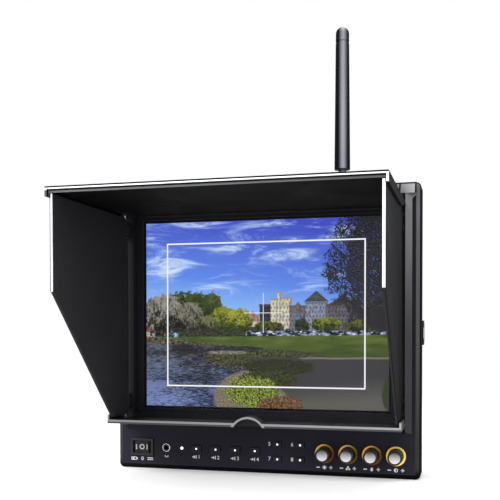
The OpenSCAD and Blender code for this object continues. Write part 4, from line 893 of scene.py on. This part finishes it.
def soften(piece, width, segments=2, angle=28.0, smooth=35.0):
    """Rounds the sharp edges and shades the rest smooth."""
    only(piece)
    bevel = piece.modifiers.new("edges", "BEVEL")
    bevel.width = width
    bevel.segments = segments
    bevel.limit_method = "ANGLE"
    bevel.angle_limit = math.radians(angle)
    bevel.harden_normals = False
    bevel.use_clamp_overlap = True
    bpy.ops.object.modifier_apply(modifier=bevel.name)
    bpy.ops.object.shade_smooth_by_angle(angle=math.radians(smooth))
    even = piece.modifiers.new("even shading", "WEIGHTED_NORMAL")
    even.keep_sharp = True
    bpy.ops.object.modifier_apply(modifier=even.name)
    return piece


def finish(piece, material, body, slot=None, *nodes):
    """Gives a piece its finish, the body that it rides on and the nodes that it stands for."""
    piece.data.materials.clear()
    piece.data.materials.append(FINISH[material])
    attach(piece, body)
    slot or material
    if nodes:
        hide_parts(*nodes)
    return piece


def body_of(node):
    """The body that a node belongs to."""
    bodies = frame["record"]["behaviour"]["bodies"]
    return next((body for body, nodes in bodies.items() if node in nodes), None)


def slot_of(node):
    """The material slot that the record gives a node."""
    parts = frame["record"]["subparts"]
    return next((part["material_slot"] for part in parts if part["node"] == node), None)


# Nodes whose finish is their own, and not the plain one of their slot; the flaps get a lighter copy of the
# hood plastic as painted light, and the lid a darker one as painted shade
OWN_FINISH = {"rear_cover": "rear_case", "hood_floor": "floor_panel", "floor_skirts": "floor_panel",
              "left_flap": "flap_panel_painted_light", "right_flap": "flap_panel_painted_light",
              "hood_lid": "lid_panel_painted_shade", "lid_skirts": "lid_panel_painted_shade", "headphone_socket": "black_plastic"}


def dress(node, width):
    """A merged copy of a node with its edges rounded, which then stands for it."""
    piece = copy_to(frame["nodes"][node], node + "_finished", (0, 0, 0))
    with editing(piece):
        bpy.ops.mesh.remove_doubles(threshold=2e-6)
        bpy.ops.mesh.dissolve_limited(angle_limit=math.radians(0.5))
    soften(piece, width)
    return finish(piece, OWN_FINISH.get(node, slot_of(node)), body_of(node), slot_of(node), node)


# Radius of a ring, in mm, that is so small that it closes up to a point
POINT = 0.001


def turn(name, profile, x, z, sides):
    """A piece turned about an axis that runs ahead from the face: (radius, distance ahead) in mm."""
    radius, start = profile[0]
    bpy.ops.object.select_all(action="DESELECT")
    bpy.ops.mesh.primitive_circle_add(vertices=sides, radius=radius * MM, fill_type="NGON",
                                      location=(x, FACE_Y - start * MM, z), rotation=(math.pi / 2, 0, 0))
    piece = bpy.context.object
    with editing(piece):
        for next_radius, ahead in profile[1:]:
            step = (0, (start - ahead) * MM, 0)
            bpy.ops.mesh.extrude_region_move(TRANSFORM_OT_translate={"value": step})
            grow = max(next_radius, POINT) / radius
            bpy.ops.transform.resize(value=(grow, 1, grow), center_override=(x, FACE_Y - ahead * MM, z))
            radius, start = max(next_radius, POINT), ahead
        close_up(1e-6)
    return settle(piece, name)


def place_of(node):
    """X and Z of a node's middle."""
    lo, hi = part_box(node)
    return (lo.x + hi.x) / 2, (lo.z + hi.z) / 2


# ---- Edges ----

KNOBS = [f"knob_{number}" for number in range(1, 5)]
CAPS = [f"knob_cap_{number}" for number in range(1, 5)]
INPUT_BUTTONS = [f"input_button_{number}" for number in range(1, 5)]
FUNCTION_BUTTONS = [f"function_button_{number}" for number in range(1, 5)]

# Width of the rounded edges in mm, and the nodes that get it
DRESSED = (
    (0.5, ["front_casing", "rear_cover"]),
    (0.4, INPUT_BUTTONS + FUNCTION_BUTTONS),
    (0.35, ["battery_plate"]),
    (0.3, ["rocker_housing", "battery_latch", "hood_lid", "left_flap", "right_flap", "knob_rings",
           "antenna_foot", "antenna_mast"]),
    (0.25, ["hood_frame", "lid_skirts", "hood_floor", "floor_skirts", "power_rocker"]),
    (0.2, ["case_screws", "tripod_insert", "side_inserts", "rear_inserts", "power_socket", "antenna_nut"]),
    (0.15, ["video_sockets", "antenna_socket", "antenna_pin"]),
    (0.12, ["headphone_socket", "battery_contacts", "lid_edge_strip", "left_edge_strip", "right_edge_strip",
            "lid_pins", "floor_pins", "left_flap_pins", "right_flap_pins"]),
)


def dress_nodes():
    return {node: dress(node, width * MM) for width, nodes in DRESSED for node in nodes}


# ---- Controls ----

KNOB_SIDES = 72
# Where the knurl starts and ends ahead of the face, and its depth, in mm
KNURL_FOOT, KNURL_TOP, KNURL_DEPTH = 1.4, 9.4, 0.22


def one_each(model, suffix, nodes):
    """The first node's piece, and a copy of it at each of the others: (node, piece)."""
    x, z = place_of(nodes[0])
    for node in nodes:
        new_x, new_z = place_of(node)
        step = (new_x - x, 0, new_z - z)
        yield node, model if node == nodes[0] else copy_to(model, node + suffix, step)


def make_knobs():
    """Knurled knobs on their shafts, each with a turned metal cap in its end."""
    x, z = place_of(KNOBS[0])
    back = (FACE_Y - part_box(KNOBS[0])[1].y) / MM
    profile = ((3.0, back), (3.0, 0.5), (5.2, 0.5), (5.5, 0.8), (5.5, KNURL_FOOT), (5.5, KNURL_TOP),
               (5.5, 10.2), (5.25, 10.5), (4.95, 10.6), (4.62, 10.55), (4.55, 10.1))
    body = turn(KNOBS[0] + "_body", profile, x, z, KNOB_SIDES)
    low_y, high_y = FACE_Y - KNURL_TOP * MM, FACE_Y - KNURL_FOOT * MM

    def groove(face):
        middle = face.calc_center_median()
        turned = math.atan2(middle.z - z, middle.x - x) / (2 * math.pi) * KNOB_SIDES
        return low_y < middle.y < high_y and abs(face.normal.y) < 0.1 and int(turned + KNOB_SIDES) % 2 == 0

    with editing(body):
        pick(body, "FACE", groove)
        bpy.ops.mesh.extrude_region_shrink_fatten(TRANSFORM_OT_shrink_fatten={"value": -KNURL_DEPTH * MM})
    soften(body, 0.06 * MM, 1, 40.0)
    cap = turn(CAPS[0] + "_turned", ((4.2, 9.8), (4.2, 10.75), (4.1, 10.93), (3.9, 11.0), (3.6, 11.0),
                                     (3.45, 10.95), (1.2, 10.9), (0.0, 10.9)), x, z, KNOB_SIDES)
    soften(cap, 0.03 * MM, 1, 40.0, 50.0)
    for node, piece in one_each(body, "_body", KNOBS):
        finish(piece, "black_plastic", node, None, node)
    for node, piece in one_each(cap, "_turned", CAPS):
        finish(piece, "cap_silver", body_of(node), None, node)


def widen_rings(rings):
    """The coloured rings reach in to the knobs."""
    with editing(rings):
        for knob in KNOBS:
            x, z = place_of(knob)
            pick(rings, "VERT", lambda v: math.hypot(v.co.x - x, v.co.z - z) < 0.0063)
            bpy.ops.transform.resize(value=(0.955, 1, 0.955), center_override=(x, 0, z))


def make_button_dots():
    """Small white domed window in the middle of each button."""
    first = INPUT_BUTTONS[0]
    front = (FACE_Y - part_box(first)[0].y) / MM
    profile = ((0.78, front - 0.3), (0.78, front + 0.05), (0.65, front + 0.12), (0.0, front + 0.14))
    dot = turn(first + "_dot", profile, *place_of(first), 24)
    for node, piece in one_each(dot, "_dot", INPUT_BUTTONS + FUNCTION_BUTTONS):
        finish(piece, "lamp_white", body_of(node))


def make_jack_rim():
    """Thin bright rim round the headphone socket, over its black insulator."""
    x, z = place_of("headphone_socket")
    front = (FACE_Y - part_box("headphone_socket")[0].y) / MM
    ring = turn("headphone_socket_rim", ((2.8, front - 0.5), (2.8, front), (2.88, front + 0.15),
                                         (3.1, front + 0.15), (3.25, front), (3.25, front - 0.5)), x, z, 48)
    finish(ring, "socket_silver", "monitor", "can_metal")


# ---- Printed marks ----

# Thickness of the print, and the place of its middle and of its front
PRINT_T = 0.02 * MM
PRINT_Y = FACE_Y - PRINT_T / 2


def bar_mark(x, z, wide, high, turned=0.0):
    """A printed bar on the face, in mm."""
    bpy.ops.object.select_all(action="DESELECT")
    bpy.ops.mesh.primitive_cube_add(size=1.0, location=(x * MM, PRINT_Y, z * MM), rotation=(0, turned, 0))
    bpy.context.object.scale = (wide * MM, PRINT_T, high * MM)
    return bpy.context.object


def bar_marks(*rows):
    return [bar_mark(*row) for row in rows]


def ring_mark(x, z, radius, line, start=0.0, sweep=360.0, steps=32):
    """A printed ring or arc on the face, in mm, spun from one small block."""
    a = math.radians(start)
    block = ((x + radius * math.cos(a)) * MM, PRINT_Y, (z + radius * math.sin(a)) * MM)
    bpy.ops.object.select_all(action="DESELECT")
    bpy.ops.mesh.primitive_plane_add(size=1.0, location=block, rotation=(0, -a, 0))
    piece = bpy.context.object
    piece.scale = (line * MM, PRINT_T, 1.0)
    with editing(piece):
        bpy.ops.mesh.spin(steps=steps, angle=-math.radians(sweep), center=(x * MM, FACE_Y, z * MM),
                          axis=(0, 1, 0))
        close_up(1e-7)
    return piece


def number_mark(number, x, z, high):
    """A plain printed number on the face, in mm."""
    bpy.ops.object.select_all(action="DESELECT")
    bpy.ops.object.text_add(location=(x * MM, FACE_Y - PRINT_T, z * MM), rotation=(math.pi / 2, 0, 0))
    curve = bpy.context.object.data
    curve.body = str(number)
    curve.size = high * MM * 1.4
    curve.align_x = curve.align_y = "CENTER"
    curve.extrude = PRINT_T / 2
    curve.offset = 0.01 * high * MM
    bpy.ops.object.convert(target="MESH")
    return bpy.context.object


def join_marks(pieces, name, body="monitor"):
    """All of a sign's marks as one printed piece."""
    for piece in pieces:
        settle(piece, name)
    for piece in pieces:
        piece.select_set(True)
    bpy.context.view_layer.objects.active = pieces[0]
    bpy.ops.object.join()
    return finish(settle(bpy.context.object, name), "paint_white", body, "lamp_white")


def make_rocker_marks():
    """Bar, ring and bar pressed into the rocker."""
    x, z = (v / MM for v in place_of("power_rocker"))
    marks = bar_marks((x - 4.6, z, 0.95, 4.2), (x + 4.6, z, 0.95, 4.2)) + [ring_mark(x, z, 1.75, 0.95)]
    for mark in marks:
        mark.location.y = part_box("power_rocker")[0].y - 1.0 * MM
    signs = join_marks(marks, "rocker_signs", "power_rocker")
    only(signs)
    wrap = signs.modifiers.new("onto the rocker", "SHRINKWRAP")
    wrap.target = dressed["power_rocker"]
    wrap.wrap_method = "PROJECT"
    wrap.use_project_y = True
    wrap.use_negative_direction = False
    wrap.use_positive_direction = True
    wrap.offset = 0.12 * MM
    bpy.ops.object.modifier_apply(modifier=wrap.name)


def make_power_signs():
    """Battery, zero and direct-current signs under the rocker."""
    z = 7.9
    battery = bar_marks((-108.4, z + 1.05, 4.8, 0.5), (-108.4, z - 1.05, 4.8, 0.5), (-110.55, z, 0.5, 2.4),
                        (-106.25, z, 0.5, 2.4), (-105.6, z, 0.6, 1.2), (-109.0, z, 1.6, 1.0))
    current = bar_marks((-94.3, z + 0.75, 4.8, 0.65), (-96.0, z - 0.6, 1.3, 0.65),
                        (-94.3, z - 0.6, 1.3, 0.65), (-92.6, z - 0.6, 1.3, 0.65))
    join_marks(battery + [number_mark(0, -101.1, z, 2.9)] + current, "power_signs")


def make_headphone_sign():
    x, z = place_of("headphone_socket")[0] / MM, 11.2
    ears = bar_marks((x - 1.15, z - 0.5, 0.85, 1.3), (x + 1.15, z - 0.5, 0.85, 1.3))
    join_marks([ring_mark(x, z, 1.2, 0.5, 0.0, 180.0, 20)] + ears, "headphone_sign")


def make_input_signs():
    """Arrow into a bracket and a number under each input button."""
    marks, z = [], 10.9
    for number, button in enumerate(INPUT_BUTTONS, 1):
        x = place_of(button)[0] / MM
        marks += bar_marks((x - 2.6, z, 2.4, 0.65), (x - 1.9, z + 0.45, 1.4, 0.65, math.radians(40)),
                           (x - 1.9, z - 0.45, 1.4, 0.65, math.radians(-40)), (x - 0.5, z, 0.65, 2.7))
        marks.append(number_mark(number, x + 2.0, z, 2.9))
    join_marks(marks, "input_signs")


def make_function_signs():
    """Plain numbers left of the function buttons."""
    marks = []
    for number, button in enumerate(FUNCTION_BUTTONS, 5):
        x, z = (v / MM for v in place_of(button))
        marks.append(number_mark(number, x - 6.6, z, 3.0))
    join_marks(marks, "function_signs")


def make_knob_signs():
    """Sun, colour dots, drop and half-filled disc under the knobs, each between a minus and a plus."""
    z = 6.9
    sun, dots, drop, disc = (place_of(knob)[0] / MM for knob in KNOBS)
    marks = []
    for x in (sun, dots, drop, disc):
        marks += bar_marks((x - 5.0, z, 2.6, 0.75), (x + 5.0, z, 2.6, 0.75), (x + 5.0, z, 0.75, 2.6))
    marks.append(ring_mark(sun, z, 0.5, 1.0))
    for a in (math.radians(45 * step) for step in range(8)):
        marks.append(bar_mark(sun + 1.5 * math.cos(a), z + 1.5 * math.sin(a), 0.6, 0.4, -a))
    for side, up in ((-0.95, -0.6), (0.95, -0.6), (0.0, 0.95)):
        marks.append(ring_mark(dots + side, z + up, 0.4, 0.8, steps=20))
    marks.append(ring_mark(drop, z - 0.4, 0.5, 1.0))
    marks += bar_marks((drop - 0.4, z + 0.75, 0.6, 1.6, 0.5), (drop + 0.4, z + 0.75, 0.6, 1.6, -0.5))
    marks += [ring_mark(disc, z, 1.3, 0.45), ring_mark(disc, z, 0.6, 1.2, -90.0, 180.0, 16)]
    join_marks(marks, "knob_signs")


GUSSET_W, GUSSET_H = 0.003, 0.0031


def make_band_gusset(side, inward):
    """Small slanted corner where a side strip of the frame widens into the top band."""
    name = f"band_gusset_{'inner' if inward else 'outer'}_{'left' if side < 0 else 'right'}"
    edge = SLOPE_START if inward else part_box("hood_frame")[1].x - GUSSET_H
    way = -1 if inward else 1
    bpy.ops.object.select_all(action="DESELECT")
    bpy.ops.mesh.primitive_cube_add(size=1.0, location=(side * (edge + way * GUSSET_W / 2), FACE_Y - 0.0022,
                                                        BAND_LOW - 0.0015))
    piece = bpy.context.object
    piece.scale = (GUSSET_W, 0.0042, GUSSET_H)
    settle(piece, name)
    with editing(piece):
        bpy.ops.mesh.bisect(plane_co=(side * edge, 0, BAND_LOW - GUSSET_H), plane_no=(side * way, 0, -1),
                            use_fill=True, clear_outer=True)
        bpy.ops.mesh.normals_make_consistent(inside=False)
    # Light grey as painted light, like the frame's top band
    finish(piece, "band_corner_painted_light", "monitor", "frame_grey")


def make_controls():
    make_knobs()
    make_button_dots()
    widen_rings(dressed["knob_rings"])
    make_jack_rim()
    make_rocker_marks()
    make_power_signs()
    make_headphone_sign()
    make_input_signs()
    make_function_signs()
    make_knob_signs()
    for side in (-1, 1):
        for inward in (False, True):
            make_band_gusset(side, inward)


def finish_inner_nodes():
    """Nodes that keep their own mesh get their finish, and the picture tints nothing round it."""
    for name in ("display_cell", "cover_glass"):
        frame["nodes"][name].visible_diffuse = False
        frame["nodes"][name].visible_glossy = False
    for name, node in frame["nodes"].items():
        if not node.hide_render:
            node.data.materials.clear()
            node.data.materials.append(FINISH[slot_of(name)])


# ---- Studio ----

def area_light(name, place, target, size, power):
    """A soft lamp that faces a point."""
    data = bpy.data.lights.new(name, "AREA")
    data.shape = "RECTANGLE"
    data.size, data.size_y = size
    data.energy = power
    lamp = bpy.data.objects.new(name, data)
    bpy.context.scene.collection.objects.link(lamp)
    lamp.location = place
    lamp.rotation_euler = (Vector(target) - Vector(place)).to_track_quat("-Z", "Y").to_euler()


def make_studio():
    area_light("key", (-0.9, -1.5, 1.5), (0, 0, 0.1), (1.2, 1.0), 42.0)
    area_light("side", (1.6, -0.55, 0.7), (0, 0, 0.12), (0.5, 1.4), 8.0)
    area_light("top", (0.1, 0.1, 1.7), (0, 0, 0.1), (1.4, 1.2), 18.0)
    world = bpy.data.worlds.new("studio")
    bpy.context.scene.world = world
    world.use_nodes = True
    t = Tree(world.node_tree)
    t.coat(world.node_tree.nodes["Background"], {"Color": grey(1), "Strength": t.lerp(t.seen(), 0.85, 1.0)})


def make_floor():
    """Pale plain floor that keeps the monitor's shadow."""
    bpy.ops.object.select_all(action="DESELECT")
    bpy.ops.mesh.primitive_plane_add(size=30.0, location=(0, 0, -0.0002))
    floor = settle(bpy.context.object, "studio_floor")
    material, t, shader = new_material("studio_floor")
    t.coat(shader, {"Base Color": t.mix(t.noise(t.place(), 3.0), grey(0.86), grey(0.9)), "Roughness": 0.9,
                    "Specular IOR Level": 0.1})
    seen = t.seen()
    x, y, _ = t.axes()
    far = t.span(t.reach(x, y), 0.22, 0.75)
    lit = t.node("ShaderNodeEmission", {"Color": grey(1), "Strength": t.times(seen, 0.12)})
    near_floor = t.node("ShaderNodeAddShader", {0: shader.outputs[0], 1: lit.outputs[0]})
    white = t.node("ShaderNodeEmission", {"Color": grey(1), "Strength": seen})
    both = t.node("ShaderNodeMixShader", {0: far, 1: near_floor.outputs[0], 2: white.outputs[0]})
    t.coat(material.node_tree.nodes["Material Output"], {"Surface": both.outputs[0]})
    floor.data.materials.append(material)


# ---- Everything ----

make_camera()
make_effects()
FINISH = make_finishes()
dressed = dress_nodes()
make_controls()
finish_inner_nodes()
make_studio()
make_floor()
